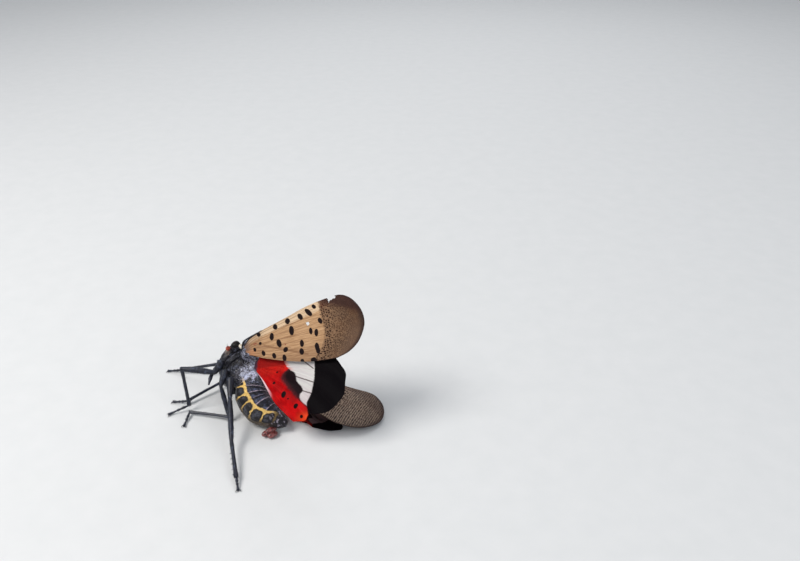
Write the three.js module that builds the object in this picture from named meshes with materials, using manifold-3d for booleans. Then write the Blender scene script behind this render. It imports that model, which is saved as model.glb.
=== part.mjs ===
// A spotted lanternfly at life size, lying on its right side with its left wings raised.
// Millimetres, +Z up. The floor is at z = 0.
import * as THREE from 'three';
import { mergeVertices } from 'three/addons/utils/BufferGeometryUtils.js';
import Module from 'manifold-3d';

const wasm = await Module();
wasm.setup();

const vec = (x, y, z) => new THREE.Vector3(x, y, z);
const lerp = THREE.MathUtils.lerp;

// Driving dimensions of the body
const THORAX_CENTRE = vec(-3.3, 2.9, 6.5);
const BODY_FORWARD = vec(-0.659, 0.645, 0.387);
const BODY_LEFT = vec(0.018, -0.501, 0.865);
const GAP = 0.3;
const HEAD_BACK = 2.35;
const PRONOTUM_FRONT = HEAD_BACK - GAP;
const PRONOTUM_BACK = 1.0;
const THORAX_FRONT = PRONOTUM_BACK - GAP;
const THORAX_BACK = -2.1;
const EYE_SIZE = vec(0.6, 0.42, 0.72);
const EYE_AT = vec(2.95, 2.2, 1.5);
const ANTENNA_AT = vec(3.2, 2.08, 0.2);
const PEDICEL_RADIUS = 0.34;

// Driving dimensions of the wings, legs and abdomen
const WING_THICKNESS = 0.5;
const WING_EDGE = 0.36;
const VEIN_HEIGHT = 0.13;
const ABDOMEN_HALF_WIDTH = 2.85;
const ABDOMEN_BACK = 2.35;
const ABDOMEN_BELLY = 2.55;
const ABDOMEN_RINGS = 8;
const FOREWING_VEINS = 9;
const HINDWING_VEINS = 10;

const bodyUp = BODY_FORWARD.clone().cross(BODY_LEFT).normalize();
const bodyLeft = bodyUp.clone().cross(BODY_FORWARD).normalize();
const bodyForward = BODY_FORWARD.clone().normalize();

// A point of the body, given forward, left and up from the middle of the thorax
function onBody(forward, left, up) {
  return THORAX_CENTRE.clone()
    .addScaledVector(bodyForward, forward)
    .addScaledVector(bodyLeft, left)
    .addScaledVector(bodyUp, up);
}

// Closed surface through rings of points, with a point at each end
function loft(rings, first, last) {
  const count = rings[0].length;
  const points = [first, ...rings.flat(), last];
  const index = [];
  const end = points.length - 1;
  for (let i = 0; i < count; i += 1) {
    const j = (i + 1) % count;
    index.push(0, 1 + j, 1 + i);
    for (let r = 0; r < rings.length - 1; r += 1) {
      const a = 1 + r * count;
      const b = a + count;
      index.push(a + i, a + j, b + j, a + i, b + j, b + i);
    }
    const z = 1 + (rings.length - 1) * count;
    index.push(z + i, z + j, end);
  }
  return outward(meshOf(points, index));
}

function meshOf(points, index) {
  const geometry = new THREE.BufferGeometry();
  const numbers = points.flatMap((point) => point.toArray());
  geometry.setAttribute('position', new THREE.Float32BufferAttribute(numbers, 3));
  geometry.setIndex(index);
  return geometry;
}

function volumeOf(geometry) {
  const position = geometry.attributes.position;
  const index = geometry.index.array;
  const [a, b, c] = [vec(), vec(), vec()];
  let sum = 0;
  for (let i = 0; i < index.length; i += 3) {
    a.fromBufferAttribute(position, index[i]);
    b.fromBufferAttribute(position, index[i + 1]);
    c.fromBufferAttribute(position, index[i + 2]);
    sum += a.dot(b.cross(c)) / 6;
  }
  return sum;
}

// Turns every triangle round when the surface is inside out
function outward(geometry) {
  if (volumeOf(geometry) < 0) {
    geometry.setIndex([...geometry.index.array].reverse());
  }
  return geometry;
}

// Superellipse ring round a centre, with half sizes along two directions
function ring(centre, across, up, halfAcross, halfUp, halfDown, count, squareness = 2) {
  return Array.from({ length: count }, (_, i) => {
    const angle = (2 * Math.PI * i) / count;
    const power = 2 / squareness;
    const x = Math.sign(Math.cos(angle)) * Math.abs(Math.cos(angle)) ** power * halfAcross;
    const height = Math.sin(angle) > 0 ? halfUp : halfDown;
    const y = Math.sign(Math.sin(angle)) * Math.abs(Math.sin(angle)) ** power * height;
    return centre.clone().addScaledVector(across, x).addScaledVector(up, y);
  });
}

function toManifold(geometry) {
  const plain = new THREE.BufferGeometry();
  plain.setAttribute('position', geometry.attributes.position.clone());
  plain.setIndex(geometry.index ? geometry.index.clone() : null);
  const merged = mergeVertices(plain, 1e-4);
  return new wasm.Manifold(new wasm.Mesh({
    numProp: 3,
    vertProperties: Float32Array.from(merged.attributes.position.array),
    triVerts: Uint32Array.from(merged.index.array),
  }));
}

// The largest closed surface of a solid, as a geometry
function toGeometry(solid) {
  const [largest] = solid.decompose().sort((a, b) => b.volume() - a.volume());
  const { vertProperties, triVerts, numProp } = largest.getMesh();
  const geometry = new THREE.BufferGeometry();
  const positions = [];
  for (let i = 0; i < vertProperties.length; i += numProp) {
    positions.push(vertProperties[i], vertProperties[i + 1], vertProperties[i + 2]);
  }
  geometry.setAttribute('position', new THREE.Float32BufferAttribute(positions, 3));
  geometry.setIndex([...triVerts]);
  return geometry;
}

function fuse(...pieces) {
  return toGeometry(pieces.map(toManifold).reduce((whole, piece) => whole.add(piece)));
}

function cut(body, ...tools) {
  const whole = toManifold(body);
  return toGeometry(tools.map(toManifold).reduce((rest, tool) => rest.subtract(tool), whole));
}

// How far a limb's end swells past its last ring, in radii
const LIMB_CAP = 0.4;

// Tapered limb through centres, with a radius at each, ending in small caps
function limb(centres, radii, sides = 8, flatten = 1) {
  const rings = centres.map((centre, i) => {
    const before = centres[Math.max(i - 1, 0)];
    const after = centres[Math.min(i + 1, centres.length - 1)];
    const direction = after.clone().sub(before).normalize();
    const across = vec(0, 0, 1).cross(direction).normalize();
    const up = direction.clone().cross(across);
    return ring(centre, across, up, radii[i] * flatten, radii[i], radii[i], sides);
  });
  const last = centres.length - 1;
  const cap = (end, next, radius) => (
    end.clone().sub(next).setLength(radius * LIMB_CAP).add(end)
  );
  const start = cap(centres[0], centres[1], radii[0]);
  const end = cap(centres[last], centres[last - 1], radii[last]);
  return loft(rings, start, end);
}

function ellipsoid(centre, axes, sizes, columns = 16, rows = 10) {
  const geometry = new THREE.SphereGeometry(1, columns, rows);
  geometry.deleteAttribute('normal');
  geometry.deleteAttribute('uv');
  const merged = mergeVertices(geometry, 1e-4);
  const scaled = axes.map((axis, i) => axis.clone().multiplyScalar(sizes.getComponent(i)));
  const matrix = new THREE.Matrix4().makeBasis(...scaled).setPosition(centre);
  return outward(merged.applyMatrix4(matrix));
}

// Keeps everything on or above the floor
function settle(geometry) {
  const position = geometry.attributes.position;
  for (let i = 0; i < position.count; i += 1) {
    position.setZ(i, Math.max(position.getZ(i), 0));
  }
  return geometry;
}

const model = new THREE.Group();

function add(name, geometry, { color, roughness = 0.6, metalness = 0 }) {
  const material = new THREE.MeshStandardMaterial({ color, roughness, metalness });
  const mesh = new THREE.Mesh(geometry, material);
  mesh.name = name;
  model.add(mesh);
}

const CHARCOAL = { color: 0x2b2b31, roughness: 0.55 };
const LEG_BLACK = { color: 0x2c333f, roughness: 0.5 };
const EYE_BLACK = { color: 0x18151a, roughness: 0.25 };
const ORANGE = { color: 0xb5482a, roughness: 0.45 };
const CREAM = { color: 0xd8cbb4, roughness: 0.6 };
const WAX_BLUE = { color: 0x4b5163, roughness: 0.7 };
const TAN = { color: 0xc6a27a, roughness: 0.55 };
const GREY_BROWN = { color: 0x8f7d6e, roughness: 0.6 };
const RED = { color: 0xd82a1c, roughness: 0.45 };
const PINK = { color: 0xa8606a, roughness: 0.5 };

// Head: a deep face with three keels, drawn as level slices from the mouth up to the crown
const FACE_FRONT = [
  [-2.8, 2.95], [-2.0, 3.35], [-1.0, 3.75], [0.4, 4.05], [1.4, 4.0], [2.0, 3.65], [2.3, 3.1],
];
const FACE_HALF_WIDTH = [
  [-2.8, 0.4], [-2.0, 0.95], [-1, 1.4], [0.2, 1.7], [1.2, 1.75], [1.9, 1.5], [2.3, 1.0],
];
const HEAD_SLICES = 14;
const HEAD_SIDES = 28;
const HEAD_LEAST_DEPTH = 0.35;
const HEAD_SQUARENESS = 0.75;
const KEEL_HEIGHT = 0.16;
const KEEL_WIDTH = 0.16;
const SIDE_KEELS_AT = 0.62;
const KEEL_REACH = 0.2;
const MOUTH_INSET = 0.3;
const MOUTH_DROP = 0.12;
const CROWN_RISE = 0.06;

function along(profile, x) {
  const last = profile.length - 1;
  if (x <= profile[0][0]) return profile[0][1];
  if (x >= profile[last][0]) return profile[last][1];
  const i = profile.findIndex(([place]) => place > x);
  const [x0, y0] = profile[i - 1];
  const [x1, y1] = profile[i];
  const t = (x - x0) / (x1 - x0);
  return lerp(y0, y1, t * t * (3 - 2 * t) * 0.5 + t * 0.5);
}

function makeHead() {
  const low = FACE_FRONT[0][0];
  const high = FACE_FRONT[FACE_FRONT.length - 1][0];
  const rings = [];
  for (let s = 0; s <= HEAD_SLICES; s += 1) {
    const z = lerp(low, high, s / HEAD_SLICES);
    const front = along(FACE_FRONT, z);
    const halfWidth = along(FACE_HALF_WIDTH, z);
    const back = Math.min(HEAD_BACK, front - HEAD_LEAST_DEPTH);
    const middle = (front + back) / 2;
    const halfLength = (front - back) / 2;
    const points = [];
    for (let i = 0; i < HEAD_SIDES; i += 1) {
      const angle = (2 * Math.PI * i) / HEAD_SIDES;
      const c = Math.cos(angle);
      const d = Math.sin(angle);
      const y = Math.sign(d) * Math.abs(d) ** HEAD_SQUARENESS * halfWidth;
      const keelAt = Math.min(Math.abs(y), Math.abs(Math.abs(y) - halfWidth * SIDE_KEELS_AT));
      const keel = c > KEEL_REACH ? KEEL_HEIGHT * Math.exp(-((keelAt / KEEL_WIDTH) ** 2)) : 0;
      const x = middle + Math.sign(c) * Math.abs(c) ** HEAD_SQUARENESS * halfLength + keel;
      points.push(onBody(x, y, z));
    }
    rings.push(points);
  }
  const mouth = onBody(along(FACE_FRONT, low) - MOUTH_INSET, 0, low - MOUTH_DROP);
  const crown = onBody((HEAD_BACK + along(FACE_FRONT, high)) / 2, 0, high + CROWN_RISE);
  return loft(rings, mouth, crown);
}

// Front and back of a body segment, with half width, top and bottom at stations along it
function segment(stations, sides, squareness) {
  const rings = stations.map(([x, halfWidth, top, bottom]) => (
    ring(onBody(x, 0, 0), bodyLeft, bodyUp, halfWidth, top, bottom, sides, squareness)
  ));
  const middle = ([x, , top, bottom]) => onBody(x, 0, (top - bottom) / 2);
  return loft(rings, middle(stations[0]), middle(stations[stations.length - 1]));
}

const SHOULDER = 0.12;
const PRONOTUM = [
  [PRONOTUM_FRONT, 1.75, 1.75, 1.7],
  [PRONOTUM_FRONT - SHOULDER, 2.15, 2.05, 2.0],
  [1.55, 2.5, 2.35, 2.25],
  [PRONOTUM_BACK + SHOULDER, 2.6, 2.5, 2.35],
  [PRONOTUM_BACK, 2.45, 2.4, 2.25],
];
const THORAX = [
  [THORAX_FRONT, 2.25, 2.35, 2.35],
  [THORAX_FRONT - SHOULDER, 2.45, 2.6, 2.6],
  [0, 2.55, 2.75, 2.75],
  [-0.8, 2.5, 2.75, 2.8],
  [-1.5, 2.35, 2.5, 2.65],
  [THORAX_BACK, 2.1, 2.15, 2.35],
];
const TRUNK_SIDES = 28;
const SCUTELLUM = [[-0.4, 2.4], [-1.2, 2.4], [-1.95, 2.4]];
const SCUTELLUM_DEPTHS = [0.5, 0.5, 0.22];
const SCUTELLUM_FLATNESS = 2.2;

function makeThorax() {
  const trunk = segment(THORAX, TRUNK_SIDES, 2.2);
  const ridge = SCUTELLUM.map(([x, z]) => onBody(x, 0, z));
  return fuse(trunk, limb(ridge, SCUTELLUM_DEPTHS, 10, SCUTELLUM_FLATNESS));
}

add('head', makeHead(), CHARCOAL);
add('pronotum', segment(PRONOTUM, TRUNK_SIDES, 2.1), CHARCOAL);
add('thorax', makeThorax(), CHARCOAL);

// Eyes and feelers stand on the cheeks, one pair on each side
const SIDES = [['left', 1], ['right', -1]];
const BODY_AXES = [bodyForward, bodyLeft, bodyUp];
const BALL_OUT = 0.42;
const STALK_RADII = [0.22, 0.24];
const WHIP = { from: 0.5, to: 1.35, forward: 0.3, up: 0.25, radii: [0.12, 0.06] };
for (const [side, sign] of SIDES) {
  const out = (forward, left, up) => (
    onBody(ANTENNA_AT.x + forward, sign * (ANTENNA_AT.y + left), ANTENNA_AT.z + up)
  );
  const eyeAt = onBody(EYE_AT.x, sign * (EYE_AT.y + GAP), EYE_AT.z);
  add(`eye_${side}`, ellipsoid(eyeAt, BODY_AXES, EYE_SIZE), EYE_BLACK);
  const ballSize = vec(PEDICEL_RADIUS, PEDICEL_RADIUS, PEDICEL_RADIUS);
  const ball = ellipsoid(out(0, BALL_OUT, 0), BODY_AXES, ballSize, 12, 8);
  const stalk = limb([out(0, 0, 0), out(0, BALL_OUT, 0)], STALK_RADII, 8);
  const whip = limb([out(0, WHIP.from, 0), out(WHIP.forward, WHIP.to, WHIP.up)], WHIP.radii, 6);
  add(`antenna_${side}`, fuse(ball, stalk, whip), ORANGE);
}

// Tegula: a small pale plate over the root of each forewing
const TEGULA_AT = vec(1.7, 2.62, 1.72);
const TEGULA_SIZE = vec(0.42, 0.27, 0.36);
for (const [side, sign] of SIDES) {
  const at = onBody(TEGULA_AT.x, sign * TEGULA_AT.y, TEGULA_AT.z);
  add(`tegula_${side}`, ellipsoid(at, BODY_AXES, TEGULA_SIZE, 12, 8), CREAM);
}

// Beak: hangs from the mouth, back under the chest
const BEAK = [
  onBody(2.55, 0.1, -3.4), onBody(2.2, 0.4, -4.0), onBody(1.5, 0.7, -4.8), onBody(0.7, 0.9, -5.6),
];
const BEAK_RADII = [0.26, 0.3, 0.27, 0.2];
add('rostrum', limb(BEAK, BEAK_RADII, 8), LEG_BLACK);

// Abdomen: overlapping rings along a bent path, each ring ending in a small step
const ABDOMEN_PATH = [
  onBody(THORAX_BACK - GAP, 0, 0), vec(-1.35, 0.6, 5.0), vec(-1.2, -0.65, 4.0),
  vec(-0.55, -1.95, 3.05), vec(0.8, -3.35, 2.45), vec(2.5, -4.35, 2.0), vec(4.75, -4.95, 1.65),
];
const ABDOMEN_SIDES = 32;
const ABDOMEN_SQUARENESS = 2.1;
const ABDOMEN_GIRTH = [
  [0, 0.8], [0.15, 0.92], [0.35, 1], [0.6, 0.86], [0.8, 0.57], [0.93, 0.38], [1, 0.2],
];
const RING_SHAPE = [[0, 0], [0.45, 0.5], [0.93, 1]];
const RING_STEP = 0.05;
const ABDOMEN_BEND = 0.16;
const CUTTER = 12;

function square(size) {
  const half = size / 2;
  const corners = [[-half, -half], [half, -half], [half, half], [-half, half]];
  return new THREE.Shape(corners.map(([x, y]) => new THREE.Vector2(x, y)));
}

function makeAbdomen() {
  const path = new THREE.CatmullRomCurve3(ABDOMEN_PATH);
  const rings = [];
  for (let k = 0; k < ABDOMEN_RINGS; k += 1) {
    for (const [part, swell] of RING_SHAPE) {
      const t = (k + part) / ABDOMEN_RINGS;
      const girth = along(ABDOMEN_GIRTH, t) * (1 + RING_STEP * swell);
      const turned = Math.min(t / ABDOMEN_BEND, 1);
      const rearward = bodyForward.clone().negate();
      const tangent = path.getTangent(t).lerp(rearward, 1 - turned).normalize();
      const across = bodyLeft.clone().addScaledVector(tangent, -bodyLeft.dot(tangent)).normalize();
      const up = across.clone().cross(tangent).normalize();
      const facing = up.dot(bodyUp) < 0 ? -1 : 1;
      rings.push(ring(
        path.getPoint(t), across, up.multiplyScalar(facing), ABDOMEN_HALF_WIDTH * girth,
        ABDOMEN_BACK * girth, ABDOMEN_BELLY * girth, ABDOMEN_SIDES, ABDOMEN_SQUARENESS,
      ));
    }
  }
  const whole = loft(rings, path.getPoint(0), path.getPoint(1));
  const depth = { depth: CUTTER, bevelEnabled: false };
  const chest = new THREE.ExtrudeGeometry(square(CUTTER), depth);
  chest.deleteAttribute('normal');
  chest.deleteAttribute('uv');
  const axes = new THREE.Matrix4().makeBasis(bodyLeft, bodyUp, bodyForward);
  chest.applyMatrix4(axes.setPosition(onBody(THORAX_BACK - GAP, 0, 0)));
  return settle(cut(whole, outward(mergeVertices(chest, 1e-4))));
}
add('abdomen', makeAbdomen(), WAX_BLUE);

// Egg-laying valves: a pair of rounded lobes under the tail
const VALVE_SIZE = vec(1.05, 0.6, 0.55);
const VALVES_AT = [vec(1.6, -6.1, 0.6), vec(2.6, -6.3, 0.6)];
const VALVE_AXES = [vec(0.8, 0.6, 0), vec(-0.6, 0.8, 0), vec(0, 0, 1)];
const valves = VALVES_AT.map((at) => ellipsoid(at, VALVE_AXES, VALVE_SIZE, 14, 10));
add('ovipositor', settle(fuse(...valves)), PINK);

// Smooth open curve through a few places on the wing
function margin(places) {
  return new THREE.CatmullRomCurve3(places.map(([s, w]) => vec(s, w, 0)), false, 'centripetal');
}

// Wing outlines: first number from the hinge towards the tip, second towards the front edge
const FOREWING = {
  front: [[0.3, 1.25], [1.3, 2.05], [4.0, 2.8], [9.2, 3.75], [14.0, 4.7], [18.4, 5.1]],
  outer: [
    [18.4, 5.1], [20.2, 4.95], [21.9, 3.9], [23.1, 2.0], [23.2, 0], [21.8, -2.25], [19.7, -3.55],
    [17.4, -4.1],
  ],
  rear: [[-0.1, -0.3], [1.3, -0.5], [4.0, -1.5], [8.2, -2.75], [12.9, -3.75], [17.4, -4.1]],
};
const HINDWING = {
  front: [[0.3, 0.6], [1.3, 1.0], [4.5, 1.4], [8.5, 1.3], [12.2, 0.4], [14.4, -1.0], [15.8, -3.2]],
  outer: [
    [15.8, -3.2], [16.9, -4.9], [17.0, -6.5], [16.5, -8.3], [15.3, -9.7], [13.3, -10.5],
    [11.3, -10.5], [10.2, -10.2], [9.6, -11.0], [7.3, -10.9],
  ],
  rear: [[0.35, -0.9], [1.7, -3.0], [2.85, -5.25], [3.95, -7.2], [5.7, -9.2], [7.3, -10.9]],
};
const WING_ROWS = 12;
const VEIN_FOOT = 0.022;
const REAR_CREST = 0.3;

// A vein's height at a part of the way to the tip: low at both ends
const veinHeight = (t) => VEIN_HEIGHT * Math.sin(Math.PI * (0.12 + 0.8 * t));

// Even sheet between four edge curves, thickened to both sides, with a ridge along each vein
function wing(outline, place, { veins, narrow = 1, lift = () => 0, floor = null }) {
  const { hinge, tipward, frontward } = place;
  const normal = tipward.clone().cross(frontward).normalize();
  const front = margin(outline.front);
  const outer = margin(outline.outer);
  const rear = margin(outline.rear);
  const columns = [[0, 1]];
  for (let k = 0; k < veins; k += 1) {
    const v = (k + 0.5) / veins;
    columns.push([v - VEIN_FOOT, 0], [v, 1], [v + VEIN_FOOT, 0]);
    if (k < veins - 1) columns.push([(k + 1) / veins, 0]);
  }
  columns.push([1, REAR_CREST]);
  const faces = [[], []];
  for (let r = 0; r <= WING_ROWS; r += 1) {
    const t = r / WING_ROWS;
    for (const [v, crest] of columns) {
      const a = front.getPoint(t);
      const b = rear.getPoint(t);
      const root = front.getPoint(0).lerp(rear.getPoint(0), v);
      const end = outer.getPoint(v);
      const corners = front.getPoint(0).lerp(rear.getPoint(0), v).multiplyScalar(1 - t)
        .add(front.getPoint(1).lerp(rear.getPoint(1), v).multiplyScalar(t));
      const flat = a.lerp(b, v).sub(corners)
        .add(root.multiplyScalar(1 - t))
        .add(end.multiplyScalar(t));
      const edge = r === WING_ROWS || v === 0 || v === 1;
      const half = (edge ? WING_EDGE : WING_THICKNESS) / 2 + crest * veinHeight(t);
      const middle = hinge.clone()
        .addScaledVector(tipward, flat.x)
        .addScaledVector(frontward, flat.y * narrow)
        .addScaledVector(normal, lift(flat.x, flat.y, t, v));
      if (floor !== null) middle.z = Math.max(middle.z, floor);
      faces[0].push(middle.clone().addScaledVector(normal, half));
      faces[1].push(middle.clone().addScaledVector(normal, -half));
    }
  }
  return outward(sheet(faces, columns.length, WING_ROWS + 1));
}

// Two matching grids of points joined round their rim
function sheet(faces, width, height) {
  const points = [...faces[0], ...faces[1]];
  const other = faces[0].length;
  const index = [];
  const quad = (a, b, c, d) => index.push(a, b, c, a, c, d);
  for (let r = 0; r < height - 1; r += 1) {
    for (let c = 0; c < width - 1; c += 1) {
      const a = r * width + c;
      quad(a, a + 1, a + 1 + width, a + width);
      index.push(other + a, other + a + 1 + width, other + a + 1);
      index.push(other + a, other + a + width, other + a + 1 + width);
    }
  }
  for (let c = 0; c < width - 1; c += 1) {
    const top = (height - 1) * width + c;
    quad(c + 1, c, other + c, other + c + 1);
    quad(top, top + 1, other + top + 1, other + top);
  }
  for (let r = 0; r < height - 1; r += 1) {
    const a = r * width;
    const b = a + width - 1;
    quad(a, a + width, other + a + width, other + a);
    quad(b + width, b, other + b, other + b + width);
  }
  return meshOf(points, index);
}

// Square axes for a wing: tipward is kept, frontward is made square to it
function wingPlace(hinge, tipward, frontward) {
  const t = tipward.clone().normalize();
  const f = frontward.clone().addScaledVector(t, -frontward.dot(t)).normalize();
  return { hinge, tipward: t, frontward: f };
}

const leftForewing = wingPlace(
  vec(-2.4, 2.75, 9.6), vec(0.85, -0.29, 0.44), vec(-0.21, 0.58, 0.78),
);
const leftHindwing = wingPlace(
  vec(-0.8, 2.25, 8.05), vec(0.86, -0.25, 0.45), vec(-0.09, 0.75, 0.66),
);
const rightForewing = wingPlace(
  vec(-1.6, 5.6, 5.6), vec(0.912, -0.39, -0.221), vec(0.39, 0.92, 0.053),
);
const rightHindwing = wingPlace(
  vec(-0.7, 4.1, 4.0), vec(0.912, -0.39, -0.29), vec(0.36, 0.92, 0.12),
);

const FOREWING_CAMBER = 0.35;
const FOREWING_LENGTH = 23;
const camber = (s, w) => (
  FOREWING_CAMBER * Math.sin((Math.PI * s) / FOREWING_LENGTH) * (1 - (w / 6) ** 2)
);

// The torn place in the front edge of the left forewing, and a pinhole
const TEAR = [
  [17.3, 6.5], [17.7, 4.75], [18.3, 4.3], [18.7, 4.45], [19.05, 3.8], [19.5, 4.1], [19.7, 6.5],
];
const PINHOLE = { at: [13.33, 2.0], radius: 0.32 };
const CUT_DEPTH = 3;

function through(place, shape) {
  const depth = { depth: 2 * CUT_DEPTH, bevelEnabled: false, curveSegments: 6 };
  const plug = new THREE.ExtrudeGeometry(shape, depth);
  plug.deleteAttribute('normal');
  plug.deleteAttribute('uv');
  const normal = place.tipward.clone().cross(place.frontward);
  const matrix = new THREE.Matrix4().makeBasis(place.tipward, place.frontward, normal);
  plug.translate(0, 0, -CUT_DEPTH).applyMatrix4(matrix.setPosition(place.hinge));
  return outward(mergeVertices(plug, 1e-4));
}

function makeLeftForewing() {
  const whole = wing(FOREWING, leftForewing, { veins: FOREWING_VEINS, lift: camber });
  const tear = new THREE.Shape(TEAR.map(([s, w]) => new THREE.Vector2(s, w)));
  const hole = new THREE.Shape().absarc(...PINHOLE.at, PINHOLE.radius, 0, 2 * Math.PI);
  return cut(whole, through(leftForewing, tear), through(leftForewing, hole));
}

// Folds of a fan: every other vein stands on a crest, the ones between in a trough
const pleat = (height) => (s, w, t, v) => (
  height * t * Math.cos(Math.PI * (v * HINDWING_VEINS - 0.5))
);
const OPEN_FOLD = 0.14;
const CLOSED_FOLD = 0.22;
const CLOSED_WIDTH = 0.36;
const REAR_CUP = 0.7;
const openFan = (s, w, t, v) => pleat(OPEN_FOLD)(s, w, t, v) + REAR_CUP * v;

const flatForewing = { veins: FOREWING_VEINS, lift: camber };
add('forewing_left', makeLeftForewing(), TAN);
add('hindwing_left', wing(HINDWING, leftHindwing, { veins: HINDWING_VEINS, lift: openFan }), RED);
add('forewing_right', settle(wing(FOREWING, rightForewing, flatForewing)), GREY_BROWN);
add('hindwing_right', settle(wing(HINDWING, rightHindwing, {
  veins: HINDWING_VEINS, narrow: CLOSED_WIDTH, lift: pleat(CLOSED_FOLD), floor: WING_THICKNESS / 2,
})), RED);

// Legs: hip, end of the first joint, knee, ankle and the claw on the floor
const LEGS = {
  left_front: {
    hip: onBody(2.0, 1.9, -2.35),
    turn: vec(-7.0, 1.05, 7.15),
    knee: vec(-12.35, 1.2, 7.75),
    ankle: vec(-11.8, 0.35, 1.15),
    claw: vec(-15.1, -0.95, 0),
  },
  left_middle: {
    hip: onBody(0.2, 1.9, -2.75),
    turn: vec(-5.9, -0.9, 5.9),
    knee: vec(-4.8, -2.4, 0.95),
    ankle: vec(-11.55, -0.75, 0.6),
    claw: vec(-11.85, -3.9, 0),
  },
  left_hind: {
    hip: onBody(-1.5, 1.8, -2.75),
    turn: vec(-4.15, -3.0, 5.1),
    knee: vec(-3.1, -9.3, 1.8),
    ankle: vec(-1.3, -15.9, 0.8),
    claw: vec(-0.7, -18.0, 0),
  },
  right_front: {
    hip: onBody(2.0, -1.9, -2.35),
    turn: vec(-7.4, 5.2, 4.6),
    knee: vec(-8.2, 8.7, 3.4),
    ankle: vec(-15.6, 10.7, 0.65),
    claw: vec(-18.2, 11.1, 0),
  },
  right_middle: {
    hip: onBody(0.4, -1.9, -2.75),
    turn: vec(-6.3, 3.6, 2.9),
    knee: vec(-7.2, 6.7, 1.4),
    ankle: vec(-12.6, 1.85, 0.75),
    claw: vec(-15.2, 2.45, 0),
  },
  right_hind: {
    hip: onBody(-1.5, -1.8, -2.75),
    turn: vec(-4.7, 3.0, 2.4),
    knee: vec(-3.5, 7.6, 1.2),
    ankle: vec(3.4, 11.4, 0.75),
    claw: vec(5.9, 12.2, 0),
  },
};
const COXA_RADIUS = 0.42;
const FEMUR_RADII = { front: 0.42, middle: 0.34, hind: 0.38 };
const TIBIA_RADII = { front: 0.3, middle: 0.28, hind: 0.33 };
const TARSUS_RADIUS = 0.27;

// How thick each joint is along its length: [part of the way, part of its radius]
const COXA_SHAPE = [[0, 1], [0.6, 1], [1, 0.8]];
const FEMUR_SHAPE = [[0, 0.75], [0.15, 1], [0.6, 1], [1, 0.85]];
const TIBIA_SHAPE = [[0, 0.8], [0.12, 1], [0.85, 0.95], [1, 1.15]];
const TARSUS_SHAPE = [[0, 0.9], [0.3, 1], [0.8, 1], [1, 1.15]];
const KNEE_OVERLAP = 0.05;
const ANKLE_CLEARANCE = 1.3;
const SOLE_HEIGHT = 0.8;

function joint(from, to, radius, shape, sides) {
  const centres = shape.map(([part]) => from.clone().lerp(to, part));
  return limb(centres, shape.map(([, share]) => radius * share), sides);
}

// A place this far from one joint, towards the next one
function toward(from, to, distance) {
  return to.clone().sub(from).setLength(distance).add(from);
}

for (const [name, { hip, turn, knee, ankle, claw }] of Object.entries(LEGS)) {
  const pair = name.split('_')[1];
  const thigh = FEMUR_RADII[pair];
  const shin = TIBIA_RADII[pair];
  const coxa = joint(hip, turn, COXA_RADIUS, COXA_SHAPE, 10);
  const femur = joint(turn, toward(knee, turn, thigh + GAP), thigh, FEMUR_SHAPE, 10);
  add(`femur_${name}`, settle(fuse(coxa, femur)), LEG_BLACK);

  const kneeStart = toward(knee, ankle, KNEE_OVERLAP).lerp(knee, 2);
  const ankleEnd = toward(ankle, knee, ANKLE_CLEARANCE * shin + GAP / 2);
  add(`tibia_${name}`, settle(joint(kneeStart, ankleEnd, shin, TIBIA_SHAPE, 10)), LEG_BLACK);

  const toe = claw.clone().setZ(TARSUS_RADIUS * SOLE_HEIGHT);
  const heel = toward(ankle, toe, GAP);
  add(`tarsus_${name}`, settle(joint(heel, toe, TARSUS_RADIUS, TARSUS_SHAPE, 8)), LEG_BLACK);
}

// The middle of the whole model's foot print is the origin
const box = new THREE.Box3().setFromObject(model, true);
model.position.set(-(box.min.x + box.max.x) / 2, -(box.min.y + box.max.y) / 2, -box.min.z);

export default model;
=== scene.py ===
# %% [markdown]
# # A spotted lanternfly, as a life-size museum model
# The model lies on its right side. Its left wings are raised over its back and show their
# undersides, and its right wings lie flat. The solid model is loaded first as a fixed frame,
# and every piece that is made here is put around it, in metres.

import math

import bpy
import numpy as np
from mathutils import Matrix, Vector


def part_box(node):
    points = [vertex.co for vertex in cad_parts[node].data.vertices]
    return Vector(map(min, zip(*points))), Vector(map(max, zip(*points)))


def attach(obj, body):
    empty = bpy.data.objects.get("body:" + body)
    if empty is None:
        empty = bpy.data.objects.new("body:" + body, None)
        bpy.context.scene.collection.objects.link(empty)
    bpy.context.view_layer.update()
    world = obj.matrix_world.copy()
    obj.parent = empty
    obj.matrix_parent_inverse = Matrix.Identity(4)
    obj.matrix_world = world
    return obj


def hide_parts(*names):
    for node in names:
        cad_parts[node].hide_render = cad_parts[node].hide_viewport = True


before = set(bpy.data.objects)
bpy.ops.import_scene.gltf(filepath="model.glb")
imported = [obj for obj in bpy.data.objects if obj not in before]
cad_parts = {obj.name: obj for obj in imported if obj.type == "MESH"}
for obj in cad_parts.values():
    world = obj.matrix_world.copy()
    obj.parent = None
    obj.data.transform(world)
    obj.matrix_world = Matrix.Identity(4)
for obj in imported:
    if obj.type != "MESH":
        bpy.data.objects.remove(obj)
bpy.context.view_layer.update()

# %% [markdown]
# ## Where things are
# An insect is easier to describe along its own body than along the room. The body has a middle
# and three directions: forward, left and up. All sizes below are in millimetres. The solid
# model was slid sideways so that its box is centred, and the left eye shows by how much.

# %% Body directions and sizes
def unit(vector):
    vector = np.asarray(vector, float)
    return vector / np.linalg.norm(vector)


MIDDLE = np.array((-3.3, 2.9, 6.5))
FORWARD = unit((-0.659, 0.645, 0.387))
UP = unit(np.cross(FORWARD, (0.018, -0.501, 0.865)))
LEFT = unit(np.cross(UP, FORWARD))
BODY_AXES = (FORWARD, LEFT, UP)
EYE_AT = (2.95, 2.5, 1.5)


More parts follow.
